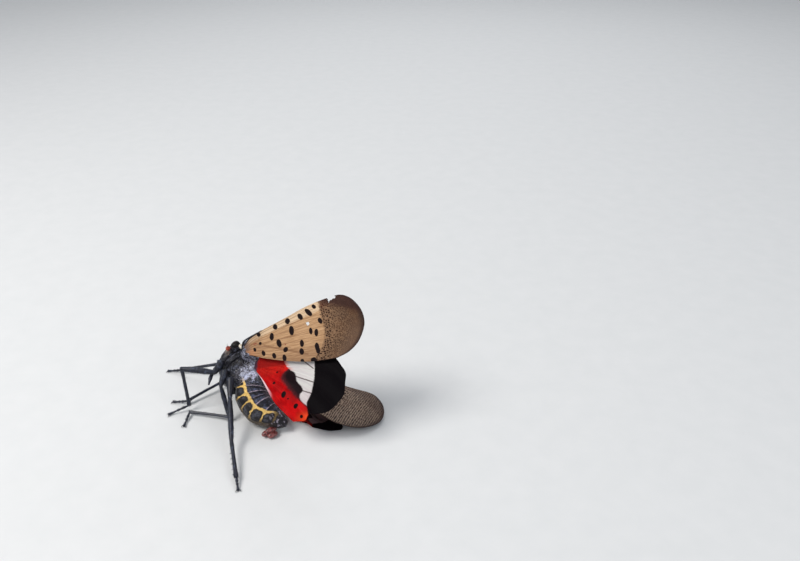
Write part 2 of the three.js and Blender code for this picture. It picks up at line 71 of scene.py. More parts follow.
def on_body(forward, left, up):
    """A place given along the body, from the middle of the thorax."""
    return MIDDLE + forward * FORWARD + left * LEFT + up * UP


eye_low, eye_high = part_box("eye_left")
SLIDE = np.array((eye_low + eye_high) / 2) * 1000 - on_body(*EYE_AT)
print("slide, mm:", SLIDE.round(3))

# %% [markdown]
# ## Camera, floor and light
# The camera stands in front, about 30 degrees above the floor, and looks straight ahead and
# down, as for a small thing on a table. The floor is plain and pale. Soft light comes from one
# large lamp high on the left, one weaker lamp on the right, and the pale surroundings.

# %% Camera, floor and lamps
CAMERA_AT = np.array((22.533, -103.128, 83.0))
CAMERA_PITCH = 29.494


def metres(places):
    """Places in millimetres, slid and scaled to the solid model's own frame."""
    return (np.asarray(places, float) + SLIDE) / 1000


scene = bpy.context.scene
scene.view_settings.view_transform = "Standard"
camera = bpy.data.objects.new("camera", bpy.data.cameras.new("camera"))
scene.collection.objects.link(camera)
camera.location = metres(CAMERA_AT)
camera.rotation_euler = (math.radians(90 - CAMERA_PITCH), 0, 0)
camera.data.lens = 36
camera.data.sensor_width = 36
camera.data.clip_start = 0.002
camera.data.clip_end = 10
scene.camera = camera


def lamp(name, place, aim, size, watts, colour):
    """A square soft lamp that points at a place."""
    light = bpy.data.lights.new(name, "AREA")
    light.size = size
    light.energy = watts
    light.color = colour
    stand = bpy.data.objects.new(name, light)
    scene.collection.objects.link(stand)
    stand.location = place
    toward = Vector(aim) - Vector(place)
    stand.rotation_euler = toward.to_track_quat("-Z", "Y").to_euler()


lamp("key", (-0.20, -0.10, 0.30), (0, 0, 0), 0.16, 1.08, (1.0, 0.97, 0.93))
lamp("fill", (0.30, -0.22, 0.22), (0, 0, 0), 0.30, 0.37, (0.93, 0.96, 1.0))
lamp("back", (0.05, 0.30, 0.30), (0, 0, 0), 0.25, 0.45, (1.0, 1.0, 1.0))
world = bpy.data.worlds.new("pale room")
world.use_nodes = True
world.node_tree.nodes["Background"].inputs["Color"].default_value = (0.9, 0.94, 1.0, 1)
world.node_tree.nodes["Background"].inputs["Strength"].default_value = 0.38
scene.world = world

# %% [markdown]
# ## Writing a finish as sums
# A finish is a small calculation that runs at each point of the surface: how far from a spot,
# how much wax, which colour. Blender draws it as boxes and wires. Here one small class stands
# for a wire, so that a finish reads like arithmetic, and each sum adds its own boxes.

# %% Wires and finishes
def fill(tree, node, values):
    """Sets each input of a node to a value, or wires it to another node's output."""
    for name, value in values.items():
        value = getattr(value, "socket", value)
        if isinstance(value, bpy.types.NodeSocket):
            tree.links.new(value, node.inputs[name])
        else:
            node.inputs[name].default_value = value


def add_node(tree, kind, values, settings):
    made = tree.nodes.new(kind)
    for name, value in settings.items():
        setattr(made, name, value)
    fill(tree, made, values or {})
    return made


class Wire:
    """One output of a node, as a value that can be added, multiplied and so on."""

    def __init__(self, finish, socket):
        self.finish = finish
        self.socket = socket

    def sum(self, operation, *values):
        return self.finish.node("ShaderNodeMath", dict(enumerate(values)), operation=operation)

    def __rsub__(self, other):
        return self.sum("SUBTRACT", other, self)

    def rise(self, low, high):
        """0 below low, 1 above high, and smooth between. It falls if low is above high."""
        ends = {"From Min": low, "From Max": high, "To Min": 0.0, "To Max": 1.0}
        if low > high:
            ends = {"From Min": high, "From Max": low, "To Min": 1.0, "To Max": 0.0}
        return self.finish.node("ShaderNodeMapRange", {"Value": self, **ends},
                                interpolation_type="SMOOTHSTEP")


# The sums that a wire can do. Its part is what is left over past the last whole number.
SUMS = {
    "__add__": "ADD", "__radd__": "ADD", "__sub__": "SUBTRACT", "__mul__": "MULTIPLY",
    "__rmul__": "MULTIPLY", "__truediv__": "DIVIDE", "least": "MINIMUM", "most": "MAXIMUM",
    "size": "ABSOLUTE", "root": "SQRT", "part": "FRACT",
}


def add_sum(method, operation):
    setattr(Wire, method, lambda self, *other: self.sum(operation, self, *other))


for method, operation in SUMS.items():
    add_sum(method, operation)


def paint(red, green, blue):
    """A colour from 0 to 255 as a screen shows it, in the form that a shader uses."""
    def linear(value):
        value = value / 255
        return value / 12.92 if value <= 0.04045 else ((value + 0.055) / 1.055) ** 2.4
    return (linear(red), linear(green), linear(blue), 1.0)


class Finish:
    """A material, with the few kinds of pattern that the model needs."""

    def __init__(self, name):
        self.material = bpy.data.materials.new(name)
        self.material.use_nodes = True
        self.tree = self.material.node_tree
        self.shader = self.tree.nodes["Principled BSDF"]

    def node(self, kind, values=None, out=0, **settings):
        return Wire(self, add_node(self.tree, kind, values, settings).outputs[out])

    def place(self):
        """The point on the object, in millimetres."""
        point = self.node("ShaderNodeTexCoord", out="Object")
        return self.node("ShaderNodeVectorMath", {0: point, "Scale": 1000.0}, operation="SCALE")

    def stored(self, name):
        """The three numbers that a mesh carries under this name."""
        vector = self.node("ShaderNodeAttribute", out="Vector", attribute_name=name)
        split = self.node("ShaderNodeSeparateXYZ", {0: vector}).socket.node
        return [Wire(self, output) for output in split.outputs]

    def vector(self, x, y):
        return self.node("ShaderNodeCombineXYZ", {0: x, 1: y})

    def noise(self, place, scale, detail=3.0, roughness=0.55):
        return self.node("ShaderNodeTexNoise", {
            "Vector": place, "Scale": scale, "Detail": detail, "Roughness": roughness})

    def cells(self, place, scale, feature="F1", jumble=1.0):
        return self.node("ShaderNodeTexVoronoi", {
            "Vector": place, "Scale": scale, "Randomness": jumble}, feature=feature)

    def curve(self, value, points):
        """A smooth curve through (place, height) points, read at a value."""
        places, heights = zip(*points)
        low, high = min(places), max(places)
        base, top = min(heights) - 1.0, max(heights) + 1.0
        height = self.node("ShaderNodeFloatCurve", {"Value": (value - low) / (high - low)})
        curve = height.socket.node.mapping.curves[0]
        while len(curve.points) < len(points):
            curve.points.new(0.5, 0.5)
        for point, (p, h) in zip(curve.points, points):
            point.location = ((p - low) / (high - low), (h - base) / (top - base))
        return height * (top - base) + base

    def mix(self, first, second, mask):
        """The first colour where the mask is 0 and the second where it is 1."""
        first, second = (paint(*c) if isinstance(c, tuple) else c for c in (first, second))
        return self.node("ShaderNodeMix", {0: mask, 6: first, 7: second}, 2, data_type="RGBA")

    def coats(self, colour, *laid):
        """A colour with coats over it, each a colour and the mask of where it lies."""
        for coat, mask in laid:
            colour = self.mix(colour, coat, mask)
        return colour

    def close(self, colour, roughness, height=None, depth=0.02, **fixed):
        """Joins colour, roughness and bump to the shader. Fixed values go on its own sockets."""
        values = {"Base Color": colour, "Roughness": roughness}
        values.update((name.replace("_", " "), value) for name, value in fixed.items())
        if height is not None:
            values["Normal"] = self.node("ShaderNodeBump", {
                "Height": height, "Distance": depth / 1000, "Strength": 1.0})
        fill(self.tree, self.shader, values)
        return self.material


print("finish helpers ready")

# %% [markdown]
# ## Making plain meshes
# Most pieces are grids of points: rings along a limb, or rows across a wing. These helpers turn
# such grids into closed meshes with their faces pointing out, store extra numbers on the points
# for the finishes to read, and hide the solid model's pieces that each one stands for.

# %% Mesh helpers
def smooth_run(places, at):
    """A smooth curve through places, read at values from 0 to 1."""
    places = np.asarray(places, float)
    at = np.asarray(at, float)
    count = len(places)
    spot = np.clip(at, 0, 1) * (count - 1)
    index = np.minimum(spot.astype(int), count - 2)
    part = (spot - index)[..., None]
    padded = np.vstack([2 * places[0] - places[1], places, 2 * places[-1] - places[-2]])
    p0, p1, p2, p3 = (padded[index + k] for k in range(4))
    d0, d1, d2 = (
        np.maximum(np.linalg.norm(b - a, axis=-1, keepdims=True) ** 0.5, 1e-6)
        for a, b in ((p0, p1), (p1, p2), (p2, p3))
    )
    t1 = ((p1 - p0) / d0 - (p2 - p0) / (d0 + d1) + (p2 - p1) / d1) * d1
    t2 = ((p2 - p1) / d1 - (p3 - p1) / (d1 + d2) + (p3 - p2) / d2) * d1
    square = -3 * p1 + 3 * p2 - 2 * t1 - t2
    cube = 2 * p1 - 2 * p2 + t1 + t2
    return p1 + t1 * part + square * part ** 2 + cube * part ** 3


def profile(points, at):
    """A height read from (place, height) points, rounded a little between them."""
    at = np.asarray(at, float)
    x, y = np.array(points, float).T
    index = np.clip(np.searchsorted(x, at, side="right") - 1, 0, len(x) - 2)
    part = np.clip((at - x[index]) / (x[index + 1] - x[index]), 0, 1)
    eased = part * part * (3 - 2 * part) * 0.5 + part * 0.5
    return y[index] + (y[index + 1] - y[index]) * eased


def make_mesh(name, places, faces, material, numbers=None):
    """An object at the origin from places in millimetres."""
    data = bpy.data.meshes.new(name)
    data.from_pydata(metres(places).tolist(), [], [tuple(map(int, face)) for face in faces])
    for key, values in (numbers or {}).items():
        layer = data.attributes.new(key, "FLOAT_VECTOR", "POINT")
        layer.data.foreach_set("vector", np.asarray(values, np.float32).ravel())
    data.shade_smooth()
    data.materials.append(material)
    made = bpy.data.objects.new(name, data)
    scene.collection.objects.link(made)
    return made


def finished(made, slot, *nodes):
    """Hangs a piece on the body and hides the solid pieces it stands for; slot is not used."""
    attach(made, "root")
    if nodes:
        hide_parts(*nodes)
    triangles = sum(len(p.vertices) - 2 for p in made.data.polygons)
    print(f"{made.name}: {triangles} triangles")
    return made


def tube_faces(rings, around):
    """Faces of a closed tube of rings, with a point at each end placed first and last."""
    last = rings * around + 1
    faces = []
    for i in range(around):
        j = (i + 1) % around
        faces.append((0, 1 + j, 1 + i))
        for r in range(rings - 1):
            a = 1 + r * around
            faces.append((a + i, a + j, a + around + j, a + around + i))
        top = 1 + (rings - 1) * around
        faces.append((top + i, top + j, last))
    return faces


def facing_out(places, faces):
    """The same faces, turned round if they enclose a negative volume."""
    places = np.asarray(places, float)
    total = 0.0
    for face in faces:
        for k in range(1, len(face) - 1):
            a, b, c = places[face[0]], places[face[k]], places[face[k + 1]]
            total += np.dot(a, np.cross(b, c))
    return faces if total > 0 else [tuple(reversed(face)) for face in faces]


# %% [markdown]
# ## The wings' plan
# A wing is drawn flat first. One number runs from the hinge towards the tip, the other towards
# the front edge. Four smooth edge curves bound it, and every point inside is an even blend of
# the four. The flat plan is then laid on two directions in the room, with a slight crown on the
# leathery forewings and the folds of a fan on the hindwings.

# %% Outlines and places of the wings
FOREWING = {
    "front": [(0.3, 1.25), (1.3, 2.05), (4.0, 2.8), (9.2, 3.75), (14.0, 4.7), (18.4, 5.1)],
    "outer": [(18.4, 5.1), (20.2, 4.95), (21.9, 3.9), (23.1, 2.0), (23.2, 0), (21.8, -2.25),
              (19.7, -3.55), (17.4, -4.1)],
    "rear": [(0.4, -0.3), (1.5, -0.55), (4.0, -1.5), (8.2, -2.75), (12.9, -3.75),
             (17.4, -4.1)],
}
HINDWING = {
    "front": [(0.3, 0.6), (1.3, 1.0), (4.5, 1.4), (8.5, 1.3), (12.2, 0.4), (14.4, -1.0),
              (15.8, -3.2)],
    "outer": [(15.8, -3.2), (16.9, -4.9), (17.0, -6.5), (16.5, -8.3), (15.3, -9.7),
              (13.3, -10.5), (11.3, -10.5), (10.2, -10.2), (9.6, -11.0), (7.3, -10.9)],
    "rear": [(0.35, -0.9), (1.7, -3.0), (2.85, -5.25), (3.95, -7.2), (5.7, -9.2),
             (7.3, -10.9)],
}
FOREWING_CROWN = 0.35
HINDWING_FOLDS = 10
OPEN_FOLD = 0.14
CLOSED_FOLD = 0.22
CLOSED_WIDTH = 0.36
REAR_CUP = 0.7


def crown(s, w, t, v):
    ripple = 0.03 * np.sin(1.7 * s + 2 * v) * t + 0.02 * np.sin(5 * v + 0.8 * s)
    return FOREWING_CROWN * np.sin(np.pi * s / 23) * (1 - (w / 6) ** 2) + ripple


def curled_crown(s, w, t, v):
    """The crown of the right forewing, whose front edge curls down to the floor."""
    curl = np.clip((w - 1.2) / 3.4, 0, 1) ** 2 * np.exp(-(((s - 14.5) / 3.6) ** 2))
    return crown(s, w, t, v) - 0.85 * curl


def fan(height, cup):
    def lift(s, w, t, v):
        fold = height * t * np.cos(np.pi * (v * HINDWING_FOLDS - 0.5))
        return fold + cup * v + 0.03 * t * np.sin(2.3 * s + 9 * v)
    return lift


def wing(outline, hinge, tipward, frontward, lift, upper, shift=0.0, narrow=1.0, floor=None):
    """A wing's plan and place. Upper is 1 if its lifted side is its upper side, and shift
    moves its pattern towards the hinge."""
    tip = unit(tipward)
    front = unit(np.asarray(frontward) - tip * np.dot(frontward, tip))
    return {
        "outline": outline, "hinge": np.array(hinge), "tip": tip, "front": front,
        "normal": np.cross(tip, front), "lift": lift, "upper": upper, "shift": shift,
        "narrow": narrow, "floor": floor,
    }


WINGS = {
    "forewing_left": wing(FOREWING, (-2.4, 2.75, 9.6), (0.85, -0.29, 0.44),
                          (-0.21, 0.58, 0.78), crown, 0),
    "hindwing_left": wing(HINDWING, (-0.8, 2.25, 8.05), (0.86, -0.25, 0.45),
                          (-0.09, 0.75, 0.66), fan(OPEN_FOLD, REAR_CUP), 0),
    "forewing_right": wing(FOREWING, (-1.6, 5.6, 5.6), (0.912, -0.39, -0.221),
                           (0.39, 0.92, 0.053), curled_crown, 1, 1.5),
    "hindwing_right": wing(HINDWING, (-0.7, 4.1, 4.0), (0.912, -0.39, -0.29),
                           (0.36, 0.92, 0.12), fan(CLOSED_FOLD, 0), 1, -2.2, CLOSED_WIDTH, 0.2),
}


def plan_point(outline, t, v):
    """The flat place at part t of the way to the tip and part v of the way back."""
    front, outer, rear = (np.array(outline[k], float) for k in ("front", "outer", "rear"))
    t3, v3 = t[..., None], v[..., None]
    a, b = smooth_run(front, t), smooth_run(rear, t)
    root = front[0] * (1 - v3) + rear[0] * v3
    end = smooth_run(outer, v)
    far = front[-1] * (1 - v3) + rear[-1] * v3
    corners = root * (1 - t3) + far * t3
    return a * (1 - v3) + b * v3 + root * (1 - t3) + end * t3 - corners


def wing_point(shape, t, v, off=0.0):
    """Places in the room and in the plan, at a height off the middle of the membrane."""
    flat = plan_point(shape["outline"], t, v)
    s, w = flat[..., 0], flat[..., 1]
    height = shape["lift"](s, w, t, v)
    middle = (shape["hinge"] + s[..., None] * shape["tip"]
              + (w * shape["narrow"])[..., None] * shape["front"]
              + height[..., None] * shape["normal"])
    if shape["floor"] is not None:
        middle[..., 2] = np.maximum(middle[..., 2], shape["floor"])
    return middle + np.asarray(off)[..., None] * shape["normal"], flat + (shape["shift"], 0)


print("wings drawn:", ", ".join(WINGS))

# %% [markdown]
# ## Wing membranes
# A real membrane is thinner than paper. Each one here is two dense grids a tenth of a millimetre
# apart, joined round the rim. The left forewing has a torn notch in its front edge and a
# pinhole, so the small faces that fall inside those are left out before the rim is closed.

# %% Build the membranes
MEMBRANE = 0.11
TEAR = [(17.3, 6.5), (17.45, 5.35), (17.62, 4.95), (17.75, 4.55), (18.0, 4.3), (18.2, 4.62),
        (18.5, 4.62), (19.0, 4.7), (19.25, 4.85), (19.2, 5.3), (19.2, 6.5)]
PINHOLE = (13.4, 2.0, 0.31)


def inside(polygon, x, y):
    """True where a flat place is inside a polygon."""
    hit = np.zeros(x.shape, bool)
    for (x0, y0), (x1, y1) in zip(polygon, polygon[1:] + polygon[:1]):
        if y0 == y1:
            continue
        crosses = (y0 > y) != (y1 > y)
        hit ^= crosses & (x < (x1 - x0) * (y - y0) / (y1 - y0) + x0)
    return hit


def membrane(name, shape, material, rows=150, columns=84, holes=False):
    """A thin closed sheet over a wing's plan."""
    t, v = np.meshgrid(np.linspace(0, 1, rows), np.linspace(0, 1, columns), indexing="ij")
    edge = np.minimum(np.minimum(v, 1 - v), np.minimum(1 - t, t + 0.02)) * 30
    half = MEMBRANE / 2 * (0.6 + 0.4 * np.clip(edge, 0, 1))
    above, flat = wing_point(shape, t, v, half)
    below, _ = wing_point(shape, t, v, -half)
    count = rows * columns
    index = np.arange(count).reshape(rows, columns)
    quads = np.stack([index[:-1, :-1], index[:-1, 1:], index[1:, 1:], index[1:, :-1]], -1)
    quads = quads.reshape(-1, 4)
    if holes:
        centre = flat.reshape(-1, 2)[quads].mean(1)
        x, y = centre.T
        gone = inside(TEAR, x + 0.08 * np.sin(9 * y), y + 0.08 * np.sin(11 * x))
        gone |= (x - PINHOLE[0]) ** 2 + (y - PINHOLE[1]) ** 2 < PINHOLE[2] ** 2
        quads = quads[~gone]
    sides = {}
    for quad in quads.tolist():
        for a, b in zip(quad, quad[1:] + quad[:1]):
            if (b, a) in sides:
                del sides[(b, a)]
            else:
                sides[(a, b)] = True
    faces = quads.tolist() + (quads[:, ::-1] + count).tolist()
    faces += [(b, a, a + count, b + count) for a, b in sides]
    places = np.vstack([above.reshape(-1, 3), below.reshape(-1, 3)])
    upper = shape["upper"]
    plan = np.dstack([flat, np.full(t.shape, upper)]).reshape(-1, 3)
    plan = np.vstack([plan, plan * (1, 1, 0) + (0, 0, 1 - upper)])
    grid = np.dstack([t, v, edge / 30]).reshape(-1, 3)
    used = np.unique(np.array([i for face in faces for i in face]))
    renumber = np.full(2 * count, -1)
    renumber[used] = np.arange(len(used))
    faces = [tuple(renumber[list(face)]) for face in faces]
    faces = facing_out(places[used], faces)
    numbers = {"plan": plan[used], "grid": np.vstack([grid, grid])[used]}
    return make_mesh(name, places[used], faces, material, numbers=numbers)


# %% [markdown]
# ## Forewing finish
# The first two thirds of a forewing are tan and leathery with black spots. The last third is
# brown, with a net of fine pale veins. Its edge between the two wavers across the wing. Each
# spot is an ellipse in the wing's own plan, so both sides of the wing carry the same spots.

# %% Paint the forewings
FOREWING_SPOTS = [
    # s, w, half length, half width, turn in degrees
    (3.7, 2.35, 0.4, 0.34, -30), (7.25, 2.85, 0.48, 0.42, -40), (9.8, 3.2, 0.48, 0.44, 0),
    (12.3, 3.35, 0.58, 0.38, -50), (13.95, 3.65, 0.82, 0.38, -46), (15.1, 4.3, 0.44, 0.3, -40),
    (6.25, 1.5, 0.58, 0.43, 75), (10.25, 1.62, 0.72, 0.47, 85), (15.8, 1.95, 0.5, 0.34, -65),
    (13.8, 0.8, 0.52, 0.32, 85), (14.75, 0.35, 0.56, 0.35, 75), (3.7, 0.95, 0.3, 0.24, 0),
    (7.45, 0.2, 0.64, 0.47, -80), (11.75, -0.7, 0.54, 0.37, 80), (14.35, -1.75, 0.6, 0.4, 84),
    (14.4, -2.3, 0.55, 0.38, 84), (2.35, 0.2, 0.34, 0.28, -60), (8.45, -1.0, 0.48, 0.36, 25),
    (11.4, -1.9, 0.5, 0.42, 85), (4.0, -0.7, 0.44, 0.36, -70), (6.0, -1.5, 0.46, 0.38, -70),
    (7.9, -2.2, 0.52, 0.38, 80), (11.15, -3.3, 0.34, 0.3, 0), (13.2, -3.6, 0.55, 0.42, 0),
]
TIP_EDGE = [(-4.5, 13.2), (-3.3, 13.7), (-2.0, 15.2), (0.0, 16.2), (2.5, 16.1), (4.7, 16.0),
            (6.0, 15.8)]
RED_SPECKS = [(2.6, 1.1, 0.42, 0.1, 5), (8.6, -0.2, 0.14, 0.12, 0)]
FRONT_BAND = [(0.0, 0.95), (3.9, 1.85), (9.0, 2.6), (13.0, 3.1), (16.0, 3.5)]
# Dark brown lines. The first and widest is painted shade in the fold along the claval furrow; the
# third runs along the vein under the pale front band.
FOLD_SHADE_AND_LINES = [
    # start, stop, half width, strength
    ((4.4, 0.45), (12.4, -2.5), 0.3, 0.6), ((2.8, 0.4), (9.5, -0.9), 0.16, 0.4),
    ((3.4, 1.55), (13.0, 3.0), 0.1, 0.5), ((2.6, 0.6), (11.0, 0.9), 0.1, 0.35),
]


def stroke(x, y, start, stop):
    """How far a place is from a straight line between two places."""
    run = np.subtract(stop, start)
    length = float(np.linalg.norm(run))
    c, d = (float(part) for part in run / length)
    dx, dy = x - start[0], y - start[1]
    along = dx * c + dy * d
    past = along - along.most(0.0).least(length)
    across = dy * c - dx * d
    return (across * across + past * past).root()


def spots(x, y, shapes, waver=0.0):
    """How far a place is from the nearest ellipse: below 1 is inside it."""
    nearest = None
    for s, w, length, width, turn in shapes:
        c, d = math.cos(math.radians(turn)), math.sin(math.radians(turn))
        dx, dy = x - s, y - w
        along = (dx * c + dy * d) / length
        across = (dy * c - dx * d) / width
        far = along * along + across * across
        nearest = nearest.least(far) if nearest else far
    return nearest + waver


def forewing_net(f, s, w, upper, into, fine, broad):
    """How much of a pale net line and of a dark core between lines is at each place. On the
    upper side the net lies in rows past the tip's border."""
    def net(along, across):
        return f.cells(f.vector(along, across), 1.0, "DISTANCE_TO_EDGE", 0.6)

    net_s, net_w = s * (2.4 + upper * 0.4), w * (3.6 - upper * 2.5)
    near = net(net_s, net_w)
    far = net(net_s * (1.4 - upper * 0.25), net_w * 1.3)
    far_share = into.rise(1.2, 3.4)
    lines = near.rise(0.17, 0.05) * (1 - far_share) + far.rise(0.18, 0.04) * far_share
    cores = near.rise(0.13, 0.24) * into.rise(4.6, 1.4)
    row = ((s * 2.8 + (broad - 0.5) * 1.4 + (fine - 0.5) * 1.3).part() - 0.5).size()
    rows = upper * into.rise(0.8, 2.4) * 0.7
    lines = lines * (1 - rows) + row.rise(0.2, 0.4) * rows
    cores = cores * (1 - rows) + row.rise(0.3, 0.1) * rows * 0.5
    return lines, cores


def forewing_finish(name, vein=0.0):
    """The forewing's colours. A raised vein is a little browner than what lies between."""
    f = Finish(name)
    s, w, upper = f.stored("plan")
    _, v, rim = f.stored("grid")
    plan = f.vector(s, w)
    fine = f.noise(plan, 3.0, 4.0)
    broad = f.noise(plan, 0.35, 2.0)
    streak = f.noise(f.vector(s * 0.35, w * 5.0), 1.0, 3.0)
    thread = f.noise(f.vector(s * 0.25, w * 16.0), 1.0, 2.0)
    band = (w - f.curve(s, FRONT_BAND) + (fine - 0.5) * 0.3).rise(-0.1, 0.12)
    shaded = (w.rise(-0.3, -2.8) * 0.4).most(s.rise(5.2, 2.6) * 0.32) * (1 - upper)
    tan = f.coats(
        f.mix((196, 158, 120), (172, 134, 98), streak.rise(0.35, 0.65)),
        ((222, 196, 164), band * 0.75),
        ((140, 98, 66), thread.rise(0.56, 0.68) * 0.55),
        # painted shade along the claval fold, and thin brown lines
        *(((118, 82, 58), stroke(s, w, start, stop).rise(width, 0.0) * strength)
          for start, stop, width, strength in FOLD_SHADE_AND_LINES),
        ((224, 160, 116), s.rise(3.4, 1.4) * w.rise(0.6, 0.0) * 0.8),
        ((128, 118, 118), s.rise(1.9, 0.7) * w.rise(-0.1, 0.5) * 0.8),
        ((122, 88, 66), shaded),
        ((168, 152, 138), upper * 0.62))
    into = s - (f.curve(w, TIP_EDGE) + (fine - 0.5) * 0.9)
    tip = into.rise(-0.3, 0.3)
    lines, cores = forewing_net(f, s, w, upper, into, fine, broad)
    greyed = into.rise(2.6, 5.4) * w.rise(1.8, -1.5) * (1 - upper)
    fade = (into.rise(7.2, 0.6) * 0.72 + 0.08 + upper * 0.5).least(0.85 - upper * 0.1)
    high = (w + s * 0.45).rise(11.4, 12.7) * (0.85 - upper * 0.45)
    brown = f.coats(
        f.mix((88, 60, 42), (66, 47, 37), broad.rise(0.3, 0.7)),
        ((62, 46, 41), upper * 0.8),
        ((50, 42, 44), upper * w.rise(1.2, -2.4) * 0.5),
        ((42, 24, 18), cores * (0.85 - upper * 0.3)),
        ((118, 94, 78), greyed * 0.45),
        ((60, 41, 36), into.rise(5.4, 7.6) * (1 - upper) * 0.5),
        (f.mix((150, 118, 90), (194, 168, 146), upper), lines * fade),
        ((52, 37, 34), rim.rise(0.035, 0.0) * 0.85),
        ((84, 40, 28), w.rise(3.0, 4.6) * into.rise(3.6, 0.0) * 0.6),
        ((54, 31, 29), high))
    colour = f.coats(
        f.mix(tan, brown, tip),
        ((120, 84, 60), vein),
        ((22, 9, 11), spots(s, w, FOREWING_SPOTS, (fine - 0.5) * 0.7).rise(1.25, 0.85)),
        ((132, 54, 44), spots(s, w, RED_SPECKS).rise(1.4, 0.5) * 0.8),
        ((34, 28, 32), s.rise(5.2, 3.4) * v.rise(0.085, 0.05)))
    roughness = 0.5 + (fine - 0.5) * 0.25 - tip * 0.04
    height = lines * tip * 0.8 + thread * (1 - tip) * 0.6 + fine * 0.25
    return f.close(colour, roughness, height, 0.035, Specular_IOR_Level=0.12)


forewing_paint = forewing_finish("forewing tan and brown")
forewing_vein_paint = forewing_finish("forewing veins", 0.4)
for side in ("left", "right"):
    skin = membrane("forewing_skin_" + side, WINGS["forewing_" + side], forewing_paint,
                    holes=side == "left")
    finished(skin, "forewing", "forewing_" + side)

# %% [markdown]
# ## Hindwing finish
# The hindwing is the showy one: a red base with a few black dots, a white band, and a black
# end. A dark wedge runs between red and white. Each border is a curve that gives how far out
# it lies at each place across the wing.

# %% Paint the hindwings
HINDWING_DOTS = [
    (4.01, -4.14, 0.26, 0.2, 30), (5.8, -6.37, 0.52, 0.4, 75), (7.97, -8.62, 0.42, 0.36, 40),
    (8.86, -10.39, 0.3, 0.26, 0), (4.65, -2.55, 0.2, 0.13, 20), (6.6, -7.2, 0.16, 0.12, 0),
]
BLACK_EDGE = [(-11.0, 10.4), (-10.1, 9.95), (-8.9, 9.9), (-7.8, 10.35), (-6.8, 10.9),
              (-5.35, 11.45), (-4.2, 11.55), (-2.65, 11.75), (-1.8, 11.65), (0.0, 11.2),
              (1.6, 10.4)]
WHITE_EDGE = [(-11.0, 11.5), (-9.7, 10.6), (-8.9, 9.85), (-8.1, 9.0), (-7.5, 8.75),
              (-6.95, 8.85), (-6.45, 9.25), (-5.8, 9.05), (-5.2, 8.55), (-4.55, 8.2),
              (-3.75, 8.2), (-2.7, 7.15), (-2.0, 6.45), (-1.5, 6.2), (-0.6, 6.1), (1.6, 6.6)]
WEDGE_EDGE = [(-11.0, 11.5), (-9.3, 9.9), (-8.3, 8.95), (-7.2, 7.95), (-6.1, 7.05),
              (-4.8, 6.05), (-4.1, 5.6), (-3.5, 5.4), (-3.0, 5.75), (-2.6, 6.4), (-2.2, 7.4),
              (-1.0, 9.0), (1.6, 9.0)]
DARK_VEINS = [((8.2, -4.0), (11.5, -5.65)), ((9.1, -6.4), (10.8, -7.2)),
              ((9.5, -1.6), (11.4, -3.4))]


def hindwing_finish(name, vein=False, painted_shade=False):
    """The hindwing's colours. A wing in painted shade is deeper in tone: its red and white are
    darkened all over.
    """
    f = Finish(name)
    s, w, _ = f.stored("plan")
    t, v, _ = f.stored("grid")
    plan = f.vector(s, w)
    fine = f.noise(plan, 3.5, 4.0)
    broad = f.noise(plan, 0.5, 2.0)
    waver = (fine - 0.5) * 0.4 + (broad - 0.5) * 0.3
    ray = f.noise(f.vector(t * 2.0, v * 40.0), 1.0, 3.0)
    red = f.coats(
        f.mix((190, 12, 15), (154, 4, 9), broad.rise(0.35, 0.65)),
        ((216, 42, 30), ray.rise(0.55, 0.7) * 0.45),
        ((198, 52, 36), w.rise(-3.6, -1.6) * fine.rise(0.35, 0.6) * 0.5),
        # painted shade: the red is darker along the front, where the wing lies under the forewing
        ((122, 20, 20), (w + s * 0.12).rise(-1.15, -0.8) * 0.7),
        ((236, 84, 40), s.rise(7.0, 10.0) * w.rise(-9.2, -10.8) * 0.7))
    inner = (s - f.curve(w, WHITE_EDGE)).rise(0.9, 0.0) * w.rise(-3.2, -2.2)
    white = f.coats(
        f.mix((206, 204, 201), (188, 182, 184), ray.rise(0.4, 0.7)),
        ((190, 164, 172), w.rise(-5.5, -8.0) * 0.4),
        ((206, 120, 112), inner * 0.8))
    black = f.mix((9, 6, 9), (17, 12, 15), ray.rise(0.5, 0.75) * 0.6)
    wedge_in = s - f.curve(w, WEDGE_EDGE)
    wedge = f.mix((74, 30, 34), (26, 14, 18), (wedge_in * 0.7 + fine * 0.6).rise(0.3, 1.1))
    white_at = (s + waver * 0.5 - f.curve(w, WHITE_EDGE)).rise(-0.14, 0.14)
    black_at = (s + waver * 0.5 - f.curve(w, BLACK_EDGE)).rise(-0.12, 0.12)
    if vein:
        red = f.mix(red, (150, 20, 18), 0.35)
        white, black = (204, 196, 197), (14, 10, 13)
    if painted_shade:
        # painted shade: the closed right wing is darkened as a whole, red and white alike, for the
        # shadow it lies in
        red = f.mix(red, (96, 10, 14), 0.75)
        white = f.mix(white, (70, 46, 50), 0.9)
    white = f.coats(white, *(
        ((62, 40, 44), stroke(s, w, start, stop).rise(0.13, 0.05) * 0.85)
        for start, stop in DARK_VEINS))
    colour = f.coats(
        f.mix(red, wedge, (wedge_in + waver * 1.6).rise(-0.4, 0.35)),
        ((20, 10, 12), spots(s, w, HINDWING_DOTS, (fine - 0.5) * 0.5).rise(1.3, 0.8)),
        (white, white_at),
        (black, black_at),
        ((236, 204, 212), v.rise(0.955, 0.972) * s.rise(3.8, 2.4) * 0.9),
        ((46, 46, 60), (s + (fine - 0.5) * 0.8).rise(1.0, 0.7) * 0.9))
    roughness = 0.46 + (fine - 0.5) * 0.2 + black_at * 0.16
    height = ray * 0.5 + fine * 0.4
    return f.close(colour, roughness, height, 0.03, Specular_IOR_Level=0.04)


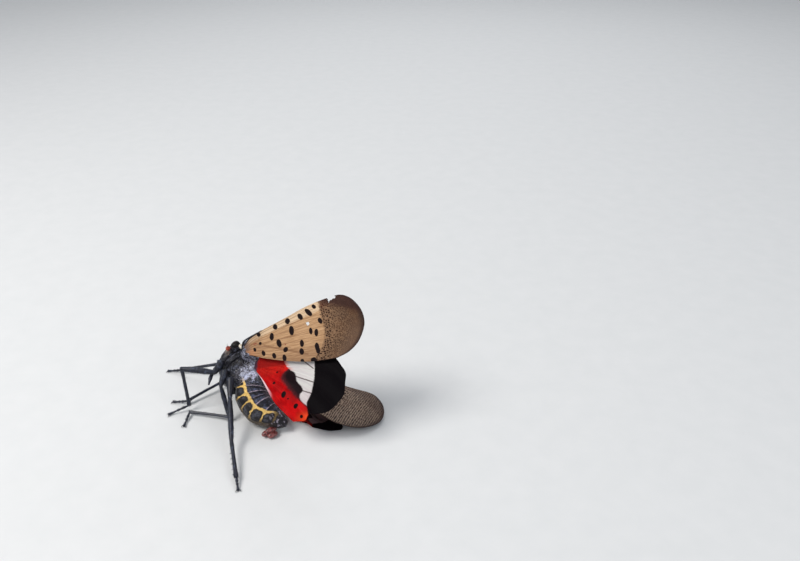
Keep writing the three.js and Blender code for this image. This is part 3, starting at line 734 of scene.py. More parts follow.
hindwing_paint = hindwing_finish("hindwing red white and black")
hindwing_vein_paint = hindwing_finish("hindwing veins", True)
closed_shade_paint = hindwing_finish("closed hindwing in painted shade", False, True)
for side, material, rows, columns in (
        ("left", hindwing_paint, 130, 121), ("right", closed_shade_paint, 110, 101)):
    skin = membrane("hindwing_skin_" + side, WINGS["hindwing_" + side], material, rows, columns)
    finished(skin, "hindwing", "hindwing_" + side)

# %% [markdown]
# ## Things that repeat
# Veins, bristles, grains and wax crumbs all repeat along a path or over a surface. Geometry
# Nodes make them: a small tree of nodes takes a plain mesh and sizes with names, and gives a
# new mesh back. The result is turned into a plain mesh at once, so nothing stays live.

# %% Trees of nodes with named sizes
class Grower:
    """A Geometry Nodes tree with named sizes, run once on a mesh."""

    KINDS = {float: "NodeSocketFloat", int: "NodeSocketInt"}

    def __init__(self, name, **sizes):
        self.tree = bpy.data.node_groups.new(name, "GeometryNodeTree")
        face = self.tree.interface
        face.new_socket(name="Shape", in_out="OUTPUT", socket_type="NodeSocketGeometry")
        face.new_socket(name="Shape", in_out="INPUT", socket_type="NodeSocketGeometry")
        self.keys = {}
        for key, value in {**sizes, "Material": None}.items():
            kind = self.KINDS.get(type(value), "NodeSocketMaterial")
            socket = face.new_socket(name=key, in_out="INPUT", socket_type=kind)
            if value is not None:
                socket.default_value = value
            self.keys[key] = socket.identifier
        self.start = self.tree.nodes.new("NodeGroupInput")
        self.stop = self.tree.nodes.new("NodeGroupOutput")

    def given(self, name):
        return self.start.outputs[name]

    def node(self, kind, values=None, out=0, **settings):
        return add_node(self.tree, kind, values, settings).outputs[out]

    def stored(self, name):
        return self.node("GeometryNodeInputNamedAttribute", {"Name": name},
                         data_type="FLOAT_VECTOR")

    def end(self, geometry):
        """Makes real faces of every copy, gives them a material and closes the tree."""
        real = self.node("GeometryNodeRealizeInstances", {"Geometry": geometry})
        values = {"Geometry": real, "Material": self.given("Material")}
        fill(self.tree, self.stop, {"Shape": self.node("GeometryNodeSetMaterial", values)})

    def grow(self, name, source, material, **sizes):
        """Runs the tree on a copy of the source's mesh and keeps the result."""
        carrier = bpy.data.objects.new(name + "_carrier", source.data.copy())
        scene.collection.objects.link(carrier)
        modifier = carrier.modifiers.new(name, "NODES")
        modifier.node_group = self.tree
        for key, value in {**sizes, "Material": material}.items():
            modifier[self.keys[key]] = value
        view = bpy.context.evaluated_depsgraph_get()
        shape = carrier.evaluated_get(view)
        data = bpy.data.meshes.new_from_object(
            shape, preserve_all_data_layers=True, depsgraph=view)
        carrier.modifiers.remove(modifier)
        bpy.data.objects.remove(carrier)
        data.shade_smooth()
        made = bpy.data.objects.new(name, data)
        scene.collection.objects.link(made)
        return made


# %% [markdown]
# ## Wing veins
# Veins are hollow ribs that hold the membrane out. They start together at the hinge, part, and
# fork again towards the rim, and short cross veins tie them. Each is drawn as a line on the
# wing's plan, and the tree turns every line into a thin tube that narrows towards the rim.

# %% Draw the veins
rib = Grower("ribs along lines", Sides=6)
line = rib.node("GeometryNodeMeshToCurve", {"Mesh": rib.given("Shape")})
circle = rib.node("GeometryNodeCurvePrimitiveCircle",
                  {"Resolution": rib.given("Sides"), "Radius": 1.0})
thick = rib.node("ShaderNodeSeparateXYZ", {0: rib.stored("thick")})
rib.end(rib.node("GeometryNodeCurveToMesh", {
    "Curve": line, "Profile Curve": circle, "Scale": thick, "Fill Caps": True}))


def vein_lines(trunks, forks, reach, cross, seed):
    """Veins as lists of (t, v), with a thickness: trunks, their forks, and cross veins."""
    rng = np.random.default_rng(seed)
    lines = []
    count = trunks * 2
    for k in range(count):
        v0 = (k // 2 + 0.5) / trunks
        v1 = (k + 0.5) / count
        split = forks * (0.75 + 0.5 * rng.random())
        t = np.linspace(0.02 if k % 2 == 0 else split * 0.9, reach, 60)
        ease = np.clip((t - split * 0.9) / 0.3, 0, 1)
        v = v0 + (v1 - v0) * ease * ease * (3 - 2 * ease)
        v = v + 0.004 * np.sin(t * 23 + k)
        lines.append((t, v, 1.0 - 0.62 * t))
    for _ in range(cross):
        t0 = 0.25 + 0.72 * rng.random()
        k = rng.integers(0, count - 1)
        v0, v1 = (k + 0.5) / count, (k + 1.5) / count
        t = t0 + 0.012 * rng.random() * np.array([0, 0.5, 1])
        lines.append((t, np.linspace(v0, v1, 3), np.full(3, 0.45)))
    return lines


def veins(name, shape, lines, radius, material, keep=None):
    """Tubes on the membrane along the lines."""
    places, plans, grids, sizes, edges = [], [], [], [], []
    total = 0
    for t, v, thick in lines:
        where, flat = wing_point(shape, t, v, np.zeros(t.shape))
        kept = np.ones(t.shape, bool) if keep is None else keep(flat[:, 0], flat[:, 1])
        places.append(where)
        plans.append(np.column_stack([flat, np.full(t.shape, shape["upper"])]))
        grids.append(np.column_stack([t, v, np.full(t.shape, 0.5)]))
        sizes.append(np.repeat((radius * thick / 1000)[:, None], 3, 1))
        edges += [(total + i, total + i + 1) for i in range(len(t) - 1)
                  if kept[i] and kept[i + 1]]
        total += len(t)
    data = bpy.data.meshes.new(name + "_lines")
    data.from_pydata(metres(np.vstack(places)).tolist(), edges, [])
    for key, values in (("plan", plans), ("grid", grids), ("thick", sizes)):
        layer = data.attributes.new(key, "FLOAT_VECTOR", "POINT")
        layer.data.foreach_set("vector", np.vstack(values).astype(np.float32).ravel())
    source = bpy.data.objects.new(name + "_lines", data)
    made = rib.grow(name, source, material)
    bpy.data.objects.remove(source)
    return made


def whole_wing(s, w):
    gone = inside(TEAR, s, w) | inside(TEAR, s - 0.15, w) | inside(TEAR, s + 0.15, w)
    return ~(gone | ((s - PINHOLE[0]) ** 2 + (w - PINHOLE[1]) ** 2 < PINHOLE[2] ** 2))


forewing_lines = vein_lines(9, 0.52, 0.985, 60, 3)
hindwing_lines = vein_lines(10, 0.5, 0.985, 24, 5)
for kind, side, lines, radius, material, keep in (
        ("forewing", "left", forewing_lines, 0.125, forewing_vein_paint, whole_wing),
        ("forewing", "right", forewing_lines, 0.125, forewing_vein_paint, None),
        ("hindwing", "left", hindwing_lines, 0.13, hindwing_vein_paint, None),
        ("hindwing", "right", hindwing_lines, 0.13, closed_shade_paint, None)):
    made = veins(f"{kind}_veins_{side}", WINGS[f"{kind}_{side}"], lines, radius, material, keep)
    finished(made, kind)

# %% [markdown]
# ## Black shell with wax
# The head and thorax are a black shell with fine wrinkles and pits. A blue-grey wax bloom lies
# on it, thicker in hollows, where nothing rubs it off. The bloom is a noise that is read twice,
# coarse for patches and fine for powder.

# %% Paint the shell
def shell_finish(name, dark, bloom, amount, grain=1.0, rough=1.0, depth=0.06):
    """A dark shell with wax. A mesh may carry a groove's depth (painted shade), more wax, and a tan
    cheek.
    """
    f = Finish(name)
    place = f.place()
    groove, extra, cheek = f.stored("hollow")
    patches = f.noise(place, 0.9, 3.0)
    powder = f.noise(place, 7.0 * grain, 4.0, 0.7)
    pits = f.cells(place, 6.0 * grain)
    folds = f.noise(place, 2.6, 3.0)
    wrinkles = f.noise(place, 2.2, 4.0, 0.6)
    laid = patches + extra * 0.2 + groove * 0.1 + (folds - 0.5) * 0.5
    wax = laid.rise(0.7 - amount * 0.22, 0.8 - amount * 0.22) * powder.rise(0.3, 0.55)
    thick = (extra * 0.8 + (patches - 0.5) * 1.3 + (folds - 0.5) * 1.5).rise(0.5, 0.76)
    thick = thick * powder.rise(0.32, 0.52)
    ridges = (wrinkles - 0.5).size().rise(0.03, 0.0) * rough
    tan = f.mix((70, 60, 56), (150, 132, 118), folds.rise(0.35, 0.6))
    colour = f.coats(
        f.mix(dark, tuple(c * 1.6 for c in dark), folds.rise(0.35, 0.7)),
        (bloom, (wax * 0.75 + ridges * 0.4).least(1.0)),
        ((206, 211, 232), thick),
        (tan, cheek * powder.rise(0.2, 0.45)),
        # painted shade: grooves, and the hips, darken nearly to black with their depth number
        ((6, 5, 7), groove.rise(0.35, 0.9) * 0.85))
    roughness = 0.32 + (wax + thick).least(1.0) * 0.45 + powder * 0.12
    height = folds * 1.3 + pits * 0.4 + powder * 0.3 + wax * 0.3 + thick * 0.9 + ridges * 0.8
    return f.close(colour, roughness, height, depth, Specular_IOR_Level=0.38)


shell_paint = shell_finish("black shell", (15, 13, 18), (108, 112, 130), 0.55)
leg_paint = shell_finish("blue-black leg", (27, 30, 40), (94, 102, 122), 0.4, 1.4, 0.0, 0.025)
waxy_paint = shell_finish("waxy skin", (20, 20, 29), (118, 120, 140), 0.8)


def plain_finish(name, low, high, roughness, depth=0.04, scale=3.0, **fixed):
    """Two tones in soft clouds, with a fine grain."""
    f = Finish(name)
    place = f.place()
    cloud = f.noise(place, scale, 4.0, 0.6)
    grain = f.noise(place, scale * 5, 3.0, 0.6)
    colour = f.mix(low, high, cloud.rise(0.36, 0.64))
    return f.close(colour, roughness + grain * 0.15, cloud + grain * 0.6, depth, **fixed)


print("shell finishes ready")

# %% [markdown]
# ## Trunk
# The trunk is a row of rings along the body, each a squarish oval. Grooves between the plates
# are cut by pulling the surface in along a few lines. The collar behind the head overlaps the
# thorax, and the thorax reaches over the first ring of the abdomen, so nothing shows between.

# %% Make the collar and the thorax
def oval(angle, half_width, top, bottom, squareness):
    """Sideways and upward parts of a squarish oval ring. Angle 0 is left, 90 degrees is up."""
    c, d = np.cos(angle), np.sin(angle)
    power = 2 / squareness
    height = np.where(d > 0, top, bottom)
    return (np.sign(c) * np.abs(c) ** power * half_width,
            np.sign(d) * np.abs(d) ** power * height)


def dent(value, middle, width):
    return np.exp(-(((value - middle) / width) ** 2))


def trunk_part(name, stations, squareness, sculpt, material, rings=60, around=96):
    """A closed row of rings at stations of (forward, half width, top, bottom)."""
    stations = np.array(stations, float)
    at = np.linspace(0, 1, rings)
    table = smooth_run(stations, at)
    angle = np.linspace(0, 2 * np.pi, around, endpoint=False)
    places = [on_body(table[0, 0], 0, (table[0, 2] - table[0, 3]) / 2)]
    hollow = [np.zeros((1, 3))]
    for x, half_width, top, bottom in table:
        y, z = oval(angle, half_width, top, bottom, squareness)
        swell, groove, extra = sculpt(x, np.degrees(angle))
        places += [on_body(x, a, b) for a, b in zip(y * swell, z * swell)]
        # the groove's depth is painted darker as shade by the shell finish
        hollow.append(np.column_stack([groove, extra, groove * 0]))
    places.append(on_body(table[-1, 0], 0, (table[-1, 2] - table[-1, 3]) / 2))
    hollow.append(np.zeros((1, 3)))
    faces = facing_out(places, tube_faces(rings, around))
    return make_mesh(name, places, faces, material, numbers={"hollow": np.vstack(hollow)})


def collar_sculpt(x, angle):
    """How far out the collar's skin lies, how deep in a groove it is, and its extra wax."""
    ridge = 0.06 * dent(angle, 90, 4) + 0.025 * dent(x, 1.62, 0.09)
    groove = dent(angle, 76, 5) + dent(angle, 104, 5) + dent(x, 1.34, 0.07)
    groove = groove + dent(angle, 18 + 14 * (x - 1.5), 6) + dent(angle, 162, 6)
    uneven = 0.012 * np.sin(angle * 0.21 + 5 * x) + 0.008 * np.sin(angle * 0.5 - 9 * x)
    pale = 0.7 * dent(angle, 30, 12) * dent(x, 1.0, 0.3)
    return 1 + ridge - 0.05 * groove + uneven, np.clip(groove, 0, 1), 0.2 + pale


# The plates' seams on each side: middle angle, slope along the body, depth
SEAMS = [(24, 10, 1.0), (2, 34, 1.0), (-20, -16, 0.8), (-40, 22, 1.0), (-64, -8, 0.7)]


def thorax_sculpt(x, angle):
    around = (angle + 90) % 360 - 90
    side = np.where(around > 90, 180 - around, around)
    keels = sum(0.035 * dent(angle, middle, 3.0) for middle in (70, 90, 110))
    groove = 0.9 * dent(x, -0.62 + 0.12 * np.cos(np.radians(side * 3)), 0.075)
    groove = groove + 0.8 * dent(x, -1.5, 0.07) + 0.7 * dent(x, 0.2 + side * 0.004, 0.05)
    for middle, lean, depth in SEAMS:
        groove = groove + depth * dent(side, middle + lean * (x + 0.8), 3.4)
    groove = np.clip(groove, 0, 1.2)
    plates = 0.03 * np.sin(side * 0.16 + 2.2 * x) * dent(side, -10, 60)
    shield = 0.05 * dent(side, 90, 34) * dent(x, -1.05, 0.4)
    uneven = 0.008 * np.sin(angle * 0.9 + 11 * x) + 0.006 * np.sin(angle * 1.7 - 17 * x)
    extra = np.clip((-0.35 - x) / 1.2, 0, 1) * np.clip((side + 70) / 60, 0.15, 1)
    extra = extra + 0.7 * dent(x, 0.1, 0.5) * dent(side, 34, 13)
    return 1 + keels + plates + shield + uneven - 0.065 * groove, groove, extra


collar = trunk_part("collar", [
    (2.2, 1.5, 1.5, 1.45), (2.08, 1.85, 1.8, 1.75), (1.93, 2.15, 2.05, 2.0),
    (1.55, 2.5, 2.35, 2.25), (1.12, 2.6, 2.5, 2.35), (0.92, 2.52, 2.42, 2.3),
    (0.8, 2.2, 2.1, 2.0)], 2.1, collar_sculpt, shell_paint)
finished(collar, "cuticle_black", "pronotum")
thorax = trunk_part("thorax_plates", [
    (1.05, 2.1, 2.2, 2.1), (0.75, 2.35, 2.45, 2.4), (0.5, 2.47, 2.62, 2.6),
    (0, 2.56, 2.76, 2.75), (-0.8, 2.52, 2.76, 2.8), (-1.5, 2.38, 2.55, 2.66),
    (-2.1, 2.18, 2.3, 2.42), (-2.35, 1.9, 2.0, 2.1)], 2.2, thorax_sculpt, shell_paint, 110, 160)
finished(thorax, "cuticle_black", "thorax")

# %% [markdown]
# ## Limbs
# Legs, beak and feelers are sticks with a changing thickness and low keels along them. One
# helper makes a closed stick along a smooth path. Several sticks may go into one mesh, as the
# parts of a leg do: hip, thigh, shin, three foot joints and two claws.

# %% Sticks along paths
def stick(path, radii, sides=14, rings=24, keels=0, keel_height=0.08):
    """A closed tapered stick. Radii are (part of the way, radius) points."""
    at = np.linspace(0, 1, rings)
    centres = smooth_run(path, at)
    run = np.gradient(centres, axis=0)
    run /= np.linalg.norm(run, axis=1, keepdims=True)
    across = np.cross((0, 0, 1), run[0])
    across = unit(across) if np.linalg.norm(across) > 1e-6 else np.array((1.0, 0, 0))
    angle = np.linspace(0, 2 * np.pi, sides, endpoint=False)
    radius = profile(radii, at)
    places, lie = [centres[0] - run[0] * radius[0] * 0.5], [run[0]]
    for centre, direction, size in zip(centres, run, radius):
        across = unit(across - direction * np.dot(across, direction))
        up = np.cross(direction, across)
        wave = size * (1 + keel_height * np.cos(keels * angle) * (keels > 0))
        places += list(centre + (np.cos(angle) * wave)[:, None] * across
                       + (np.sin(angle) * wave)[:, None] * up)
        lie += [direction] * sides
    places.append(centres[-1] + run[-1] * radius[-1] * 0.5)
    lie.append(run[-1])
    places = np.array(places)
    return places, facing_out(places, tube_faces(rings, sides)), np.array(lie)


def ball(centre, axes, sizes, columns=28, rows=18):
    """An ellipsoid with its three half sizes along three axes."""
    centre = np.asarray(centre, float)
    axes = np.asarray(axes) * np.asarray(sizes, float)[:, None]
    around = np.linspace(0, 2 * np.pi, columns, endpoint=False)
    places = [centre - axes[2]]
    for lift in np.linspace(-np.pi / 2, np.pi / 2, rows + 2)[1:-1]:
        flat = (np.cos(around)[:, None] * axes[0] + np.sin(around)[:, None] * axes[1])
        places += list(centre + flat * np.cos(lift) + axes[2] * np.sin(lift))
    places.append(centre + axes[2])
    places = np.array(places)
    lie = np.tile(unit(axes[0]), (len(places), 1))
    return places, facing_out(places, tube_faces(rows, columns)), lie


def bundle(name, parts, material, numbers=None):
    """One mesh of several closed parts."""
    places, faces, lies, total = [], [], [], 0
    for part_places, part_faces, lie in parts:
        places.append(part_places)
        lies.append(lie)
        faces += [tuple(i + total for i in face) for face in part_faces]
        total += len(part_places)
    stored = {"lie": np.vstack(lies), **(numbers or {})}
    return make_mesh(name, np.vstack(places), faces, material, numbers=stored)


def between(a, b, part):
    return np.asarray(a) + (np.asarray(b) - np.asarray(a)) * part


def uneven(part, seed, amount=0.02, pitch=3.5):
    """The same closed part, with its skin pushed about by a few slow waves."""
    places, faces, lie = part
    rng = np.random.default_rng(seed)
    moved = places.copy()
    for _ in range(10):
        way, turn = rng.normal(size=3), rng.normal(size=3) * pitch
        moved += amount * way * np.sin(places @ turn + 6.3 * rng.random())[:, None]
    return moved, faces, lie


# %% [markdown]
# ## Legs
# Each leg has five joints in life. The places of hip, knee, ankle and claw are the solid
# model's. The hip joint is thick and starts inside the thorax, the thigh swells before the
# middle, and the shin has four low keels and flares at the ankle. The hind shins carry a row
# of teeth, with which the insect pushes off when it jumps.

# %% Make the six legs
LEGS = {
    "left_front": (on_body(2.0, 1.9, -2.35), (-7.0, 1.05, 7.15), (-12.35, 1.2, 7.75),
                   (-11.8, 0.35, 1.15), (-15.1, -0.95, 0)),
    "left_middle": (on_body(0.2, 1.9, -2.75), (-5.9, -0.9, 5.9), (-4.8, -2.4, 0.95),
                    (-11.55, -0.75, 0.6), (-11.85, -3.9, 0)),
    "left_hind": (on_body(-1.5, 1.8, -2.75), (-4.15, -3.0, 5.1), (-3.1, -9.3, 1.8),
                  (-1.3, -15.9, 0.8), (-0.7, -18.0, 0)),
    "right_front": (on_body(2.0, -1.9, -2.35), (-7.4, 5.2, 4.6), (-8.2, 8.7, 3.4),
                    (-15.6, 10.7, 0.65), (-18.2, 11.1, 0)),
    "right_middle": (on_body(0.4, -1.9, -2.75), (-6.3, 3.6, 2.9), (-7.2, 6.7, 1.4),
                     (-12.6, 1.85, 0.75), (-15.2, 2.45, 0)),
    "right_hind": (on_body(-1.5, -1.8, -2.75), (-4.7, 3.0, 2.4), (-3.5, 7.6, 1.2),
                   (3.4, 11.4, 0.75), (5.9, 12.2, 0)),
}
THIGH = {"front": 0.5, "middle": 0.38, "hind": 0.42}
SHIN = {"front": 0.29, "middle": 0.27, "hind": 0.31}
FOOT = 0.2


def claw_parts(ankle, toe):
    """Three foot joints that flare, a pad, and two curved claws."""
    parts = []
    for low, high, thick in ((0.02, 0.34, 1.0), (0.34, 0.56, 0.95), (0.56, 0.93, 0.9)):
        flare = [(0, 0.62), (0.3, 0.78), (0.85, 1.15), (1, 0.95)]
        radii = [(p, r * FOOT * thick) for p, r in flare]
        parts.append(stick([between(ankle, toe, low), between(ankle, toe, high)], radii, 12, 10))
    run = unit(toe - ankle)
    side = unit(np.cross(run, (0, 0, 1)))
    parts.append(ball(between(ankle, toe, 0.95), (run, side, np.cross(run, side)),
                      (0.2, 0.17, 0.1), 12, 8))
    for sign in (1, -1):
        root = between(ankle, toe, 0.9) + side * 0.08 * sign
        bend = root + run * 0.22 + side * 0.2 * sign + np.array((0, 0, 0.06))
        tip = root + run * 0.42 + side * 0.3 * sign
        tip[2] = 0.03
        parts.append(stick([root, bend, tip], [(0, 0.075), (0.5, 0.06), (1, 0.015)], 8, 10))
    return parts


def leg_parts(pair, hip, turn, knee, ankle, claw):
    hip, turn, knee, ankle = (np.asarray(p, float) for p in (hip, turn, knee, ankle))
    toe = np.array((claw[0], claw[1], 0.17))
    thigh, shin = THIGH[pair], SHIN[pair]
    inner = hip + unit(hip - turn) * 0.5
    parts = [stick([inner, between(hip, turn, 0.5), turn],
                   [(0, 0.62), (0.45, 0.52), (0.85, 0.36), (1, 0.3)], 20, 20)]
    parts.append(ball(turn, (unit(knee - turn), unit(np.cross(knee - turn, turn - hip)),
                             unit(turn - hip)), (0.36, 0.32, 0.34), 16, 10))
    shape = [(0, 0.6), (0.1, 0.78), (0.35, 1.0), (0.7, 0.95), (0.92, 0.8), (1, 0.62)]
    parts.append(stick([turn, between(turn, knee, 0.5) + (0, 0, 0.06), knee],
                       [(p, r * thigh) for p, r in shape], 20, 40, 4, 0.04))
    parts.append(ball(knee, np.eye(3), [thigh * 0.72] * 3, 14, 9))
    shape = [(0, 0.75), (0.05, 0.95), (0.3, 0.82), (0.8, 0.88), (0.95, 1.08), (1, 1.0)]
    parts.append(stick([knee, between(knee, ankle, 0.5) + (0, 0, 0.05), ankle],
                       [(p, r * shin) for p, r in shape], 20, 48, 4, 0.1))
    run = unit(ankle - knee)
    side = unit(np.cross(run, (0, 0, 1)))
    if pair == "hind":
        for share in (0.3, 0.45, 0.6, 0.75, 0.88):
            root = between(knee, ankle, share)
            tip = root + run * 0.3 + side * 0.5
            parts.append(stick([root, tip], [(0, 0.12), (0.5, 0.08), (1, 0.02)], 8, 6))
    for turn_part in range(6):
        angle = turn_part / 6 * 2 * np.pi
        out = side * math.cos(angle) + np.cross(run, side) * math.sin(angle)
        root = ankle + out * shin * 0.6 - run * 0.08
        parts.append(stick([root, root + run * 0.26 + out * 0.1],
                           [(0, 0.07), (1, 0.012)], 6, 4))
    return parts + claw_parts(ankle, toe)


leg_objects = {}
for name, places in LEGS.items():
    parts = leg_parts(name.split("_")[1], *places)
    hips = len(parts[0][0]) + len(parts[1][0])
    shade = np.zeros((sum(len(part[0]) for part in parts), 3))
    # painted shade: the hips, under the body, carry a depth that the shell finish darkens
    shade[:hips, 0] = 0.55
    made = bundle("leg_" + name, parts, leg_paint, {"hollow": shade})
    leg_objects[name] = finished(
        made, "leg", "femur_" + name, "tibia_" + name, "tarsus_" + name)

# %% [markdown]
# ## Head
# Seen from the front the head is a tall shield with three keels and a rounded mouth part below.
# It is drawn as level slices from the mouth up to the crown, and each slice is a squarish oval
# whose front edge carries the keels. The cheeks swell where the eyes and feelers stand.

# %% Make the head
FACE_FRONT = [(-2.8, 2.95), (-2.0, 3.35), (-1.0, 3.75), (0.4, 4.05), (1.4, 4.0), (2.0, 3.65),
              (2.3, 3.1)]
FACE_HALF_WIDTH = [(-2.8, 0.4), (-2.0, 0.95), (-1, 1.4), (0.2, 1.7), (1.2, 1.75), (1.9, 1.5),
                   (2.3, 1.0)]
HEAD_BACK = 1.95


def make_head():
    rings, around = 90, 128
    angle = np.linspace(0, 2 * np.pi, around, endpoint=False)
    c, d = np.cos(angle), np.sin(angle)
    places = [on_body(2.68, 0, -2.92)]
    marks = [np.zeros((1, 3))]
    for z in np.linspace(-2.8, 2.3, rings):
        front = float(profile(FACE_FRONT, z))
        half_width = float(profile(FACE_HALF_WIDTH, z))
        back = min(HEAD_BACK, front - 0.35)
        middle, half_length = (front + back) / 2, (front - back) / 2
        cheek = 0.22 * dent(z, 1.45, 0.5) + 0.2 * dent(z, 0.25, 0.42)
        y = np.sign(d) * np.abs(d) ** 0.75 * half_width * (1 + cheek * np.abs(d) ** 6)
        share = np.abs(y) / half_width
        keels = 0.14 * dent(share, 0, 0.05) + 0.12 * dent(share, 0.6, 0.05)
        keels = keels + 0.1 * dent(share, 0.9, 0.05)
        hollow = 0.1 * dent(share, 0.3, 0.2)
        seam = 0.1 * dent(z, -1.25 - 0.35 * share ** 2, 0.07)
        facing = np.clip((c - 0.1) / 0.3, 0, 1)
        fade = np.clip((z + 1.3) / 0.5, 0.15, 1)
        sculpted = facing * ((keels - hollow) * fade - seam)
        x = middle + np.sign(c) * np.abs(c) ** 0.75 * half_length + sculpted
        places += [on_body(a, b, z) for a, b in zip(x, y)]
        tan = dent(z, -0.1, 0.34) * np.clip((np.abs(y) - 1.15) / 0.3, 0, 1) * (c > -0.2)
        pale_line = 0.3 * dent(share, 0.45, 0.12) * facing
        # deep marks the mouth seam and a groove by the outer keel; the finish paints it dark as
        # shade
        deep = np.clip(seam * 8 * facing + dent(share, 0.72, 0.04) * facing * 0.7, 0, 1)
        marks.append(np.column_stack([deep, 0.15 + pale_line, tan]))
    places.append(on_body(2.6, 0, 2.36))
    marks = np.vstack(marks + [np.zeros((1, 3))])
    faces = facing_out(places, tube_faces(rings, around))
    return make_mesh("head_shield", places, faces, shell_paint, numbers={"hollow": marks})


finished(make_head(), "cuticle_black", "head")

# %% [markdown]
# ## Eyes
# A compound eye is a dome of hundreds of tiny lenses. A ball is built from even triangles, and
# the tree puts a low bead on each of its points. The head swells out to carry each eye in a
# cup, and a small simple eye sits below it.

# %% Beads on points, and the eyes
bead = Grower("beads on points", Radius=0.00005, Detail=1)
dome = bead.node("GeometryNodeMeshIcoSphere", {
    "Radius": bead.given("Radius"), "Subdivisions": bead.given("Detail")})
bead.end(bead.node("GeometryNodeInstanceOnPoints", {
    "Points": bead.given("Shape"), "Instance": dome}))


def eye_finish():
    f = Finish("dark eye")
    place = f.place()
    cloud = f.noise(place, 1.6, 2.0)
    colour = f.mix((13, 12, 13), (38, 27, 26), cloud.rise(0.45, 0.7))
    grain = f.noise(place, 14.0, 2.0)
    return f.close(colour, 0.26 + grain * 0.12, grain, 0.01, Specular_IOR_Level=0.3)


eye_paint = eye_finish()
for side, sign in (("left", 1), ("right", -1)):
    at = on_body(EYE_AT[0], sign * EYE_AT[1], EYE_AT[2])
    eye_sizes = np.array((0.56, 0.38, 0.66))
    bpy.ops.mesh.primitive_ico_sphere_add(subdivisions=4, radius=1)
    round_eye = bpy.context.object
    points = np.array([v.co for v in round_eye.data.vertices])
    faces = [tuple(p.vertices) for p in round_eye.data.polygons]
    bpy.data.objects.remove(round_eye)
    points = at + (points * eye_sizes) @ np.array(BODY_AXES)
    globe = make_mesh("eye_globe_" + side, points, facing_out(points, faces), eye_paint)
    lenses = bead.grow("eye_lenses_" + side, globe, eye_paint, Radius=0.000032, Detail=1)
    finished(lenses, "eye")
    finished(globe, "eye", "eye_" + side)
    socket = stick([on_body(2.8, sign * 0.9, 1.2), on_body(2.88, sign * 1.7, 1.4),
                    on_body(2.95, sign * 2.38, 1.5)],
                   [(0, 0.98), (0.4, 0.96), (0.75, 0.8), (0.93, 0.74), (1, 0.55)], 48, 40)
    socket = uneven(socket, 11, 0.012)
    simple = ball(on_body(3.35, sign * 2.08, 0.85), BODY_AXES, (0.16, 0.12, 0.16), 16, 10)
    finished(bundle("eye_socket_" + side, [socket], shell_paint), "cuticle_black")
    finished(bundle("simple_eye_" + side, [simple], eye_paint), "eye")

# %% [markdown]
# ## Feelers
# A planthopper's feeler is short: a stalk, a swollen brick-red ball covered with fine grains,
# and a thread-thin whip. The grains are beads on the points of the ball's own mesh.

# %% Make the feelers
def feeler_finish():
    f = Finish("brick-red feeler")
    place = f.place()
    cloud = f.noise(place, 3.0, 3.0)
    colour = f.mix((150, 50, 32), (184, 80, 50), cloud.rise(0.35, 0.65))
    return f.close(colour, 0.42 + cloud * 0.15, cloud, 0.01, Coat_Weight=0.12)


feeler_paint = feeler_finish()
for side, sign in (("left", 1), ("right", -1)):
    x, y, z = 3.2, 2.08, 0.2
    centre = on_body(x, sign * (y + 0.42), z)
    parts = [stick([on_body(x, sign * (y - 0.35), z), on_body(x, sign * (y + 0.3), z)],
                   [(0, 0.26), (0.6, 0.2), (1, 0.24)], 16, 10),
             ball(centre, BODY_AXES, (0.33, 0.33, 0.36), 28, 18)]
    feeler = bundle("feeler_" + side, parts, feeler_paint)
    core = bundle("feeler_core_" + side, [ball(centre, BODY_AXES, (0.335, 0.335, 0.365), 18, 11)],
                  feeler_paint)
    grains = bead.grow("feeler_grains_" + side, core, feeler_paint, Radius=0.00003, Detail=1)
    bpy.data.objects.remove(core)
    finished(grains, "antenna")
    finished(feeler, "antenna", "antenna_" + side)
    whip = stick([on_body(x, sign * (y + 0.7), z), on_body(x + 0.14, sign * (y + 1.05), z + 0.06),
                  on_body(x + 0.3, sign * (y + 1.38), z + 0.25)],
                 [(0, 0.09), (0.15, 0.06), (0.3, 0.04), (1, 0.012)], 8, 16)
    finished(bundle("feeler_whip_" + side, [whip], leg_paint), "leg")

# %% [markdown]
# ## Beak
# The sucking beak hangs from the mouth and lies back between the hips. It is a four-part stick.

# %% Make the beak
BEAK = [on_body(2.7, 0.05, -2.75), on_body(2.55, 0.1, -3.4), on_body(2.2, 0.4, -4.0),
        on_body(1.5, 0.7, -4.8), on_body(0.7, 0.9, -5.6)]
beak = bundle("beak", [stick(BEAK, [(0, 0.46), (0.2, 0.36), (0.25, 0.31), (0.5, 0.34),
                                    (0.53, 0.27), (0.78, 0.3), (0.82, 0.22), (1, 0.12)],
                             18, 50, 2, 0.08)], leg_paint)
finished(beak, "leg", "rostrum")

# %% [markdown]
# ## Abdomen
# The abdomen is a chain of stiff rings joined by soft skin, along a bent path. Each ring swells
# towards its rear edge and steps down over the next. The back carries blue-white wax on black
# with a pale line at each rear edge. A yellow band of soft skin runs along each side and sends
# branches down between the black plates of the belly.

# %% Make the abdomen
ABDOMEN_PATH = [on_body(-2.4, 0, 0), (-1.35, 0.6, 5.0), (-1.2, -0.65, 4.0),
                (-0.55, -1.95, 3.05), (0.8, -3.35, 2.45), (2.5, -4.35, 2.0),
                (4.75, -4.95, 1.65)]
GIRTH = [(0, 0.8), (0.15, 0.92), (0.35, 1), (0.6, 0.86), (0.8, 0.57), (0.93, 0.38), (1, 0.2)]
RINGS = 8
STEPS_PER_RING = 18
HALF_WIDTH, BACK, BELLY = 2.85, 2.35, 2.55
SIDE_LINE = [(0, 118), (2.5, 102), (3.7, 98), (5.05, 98), (5.95, 88), (7.15, 60), (8, 50)]
BACK_SWELL = [(0, 0.1), (0.3, 0.1), (0.5, 0.45), (0.68, 0.95), (0.85, 0.8), (0.95, 0.3), (1, 0)]
THORAX_END = -2.0


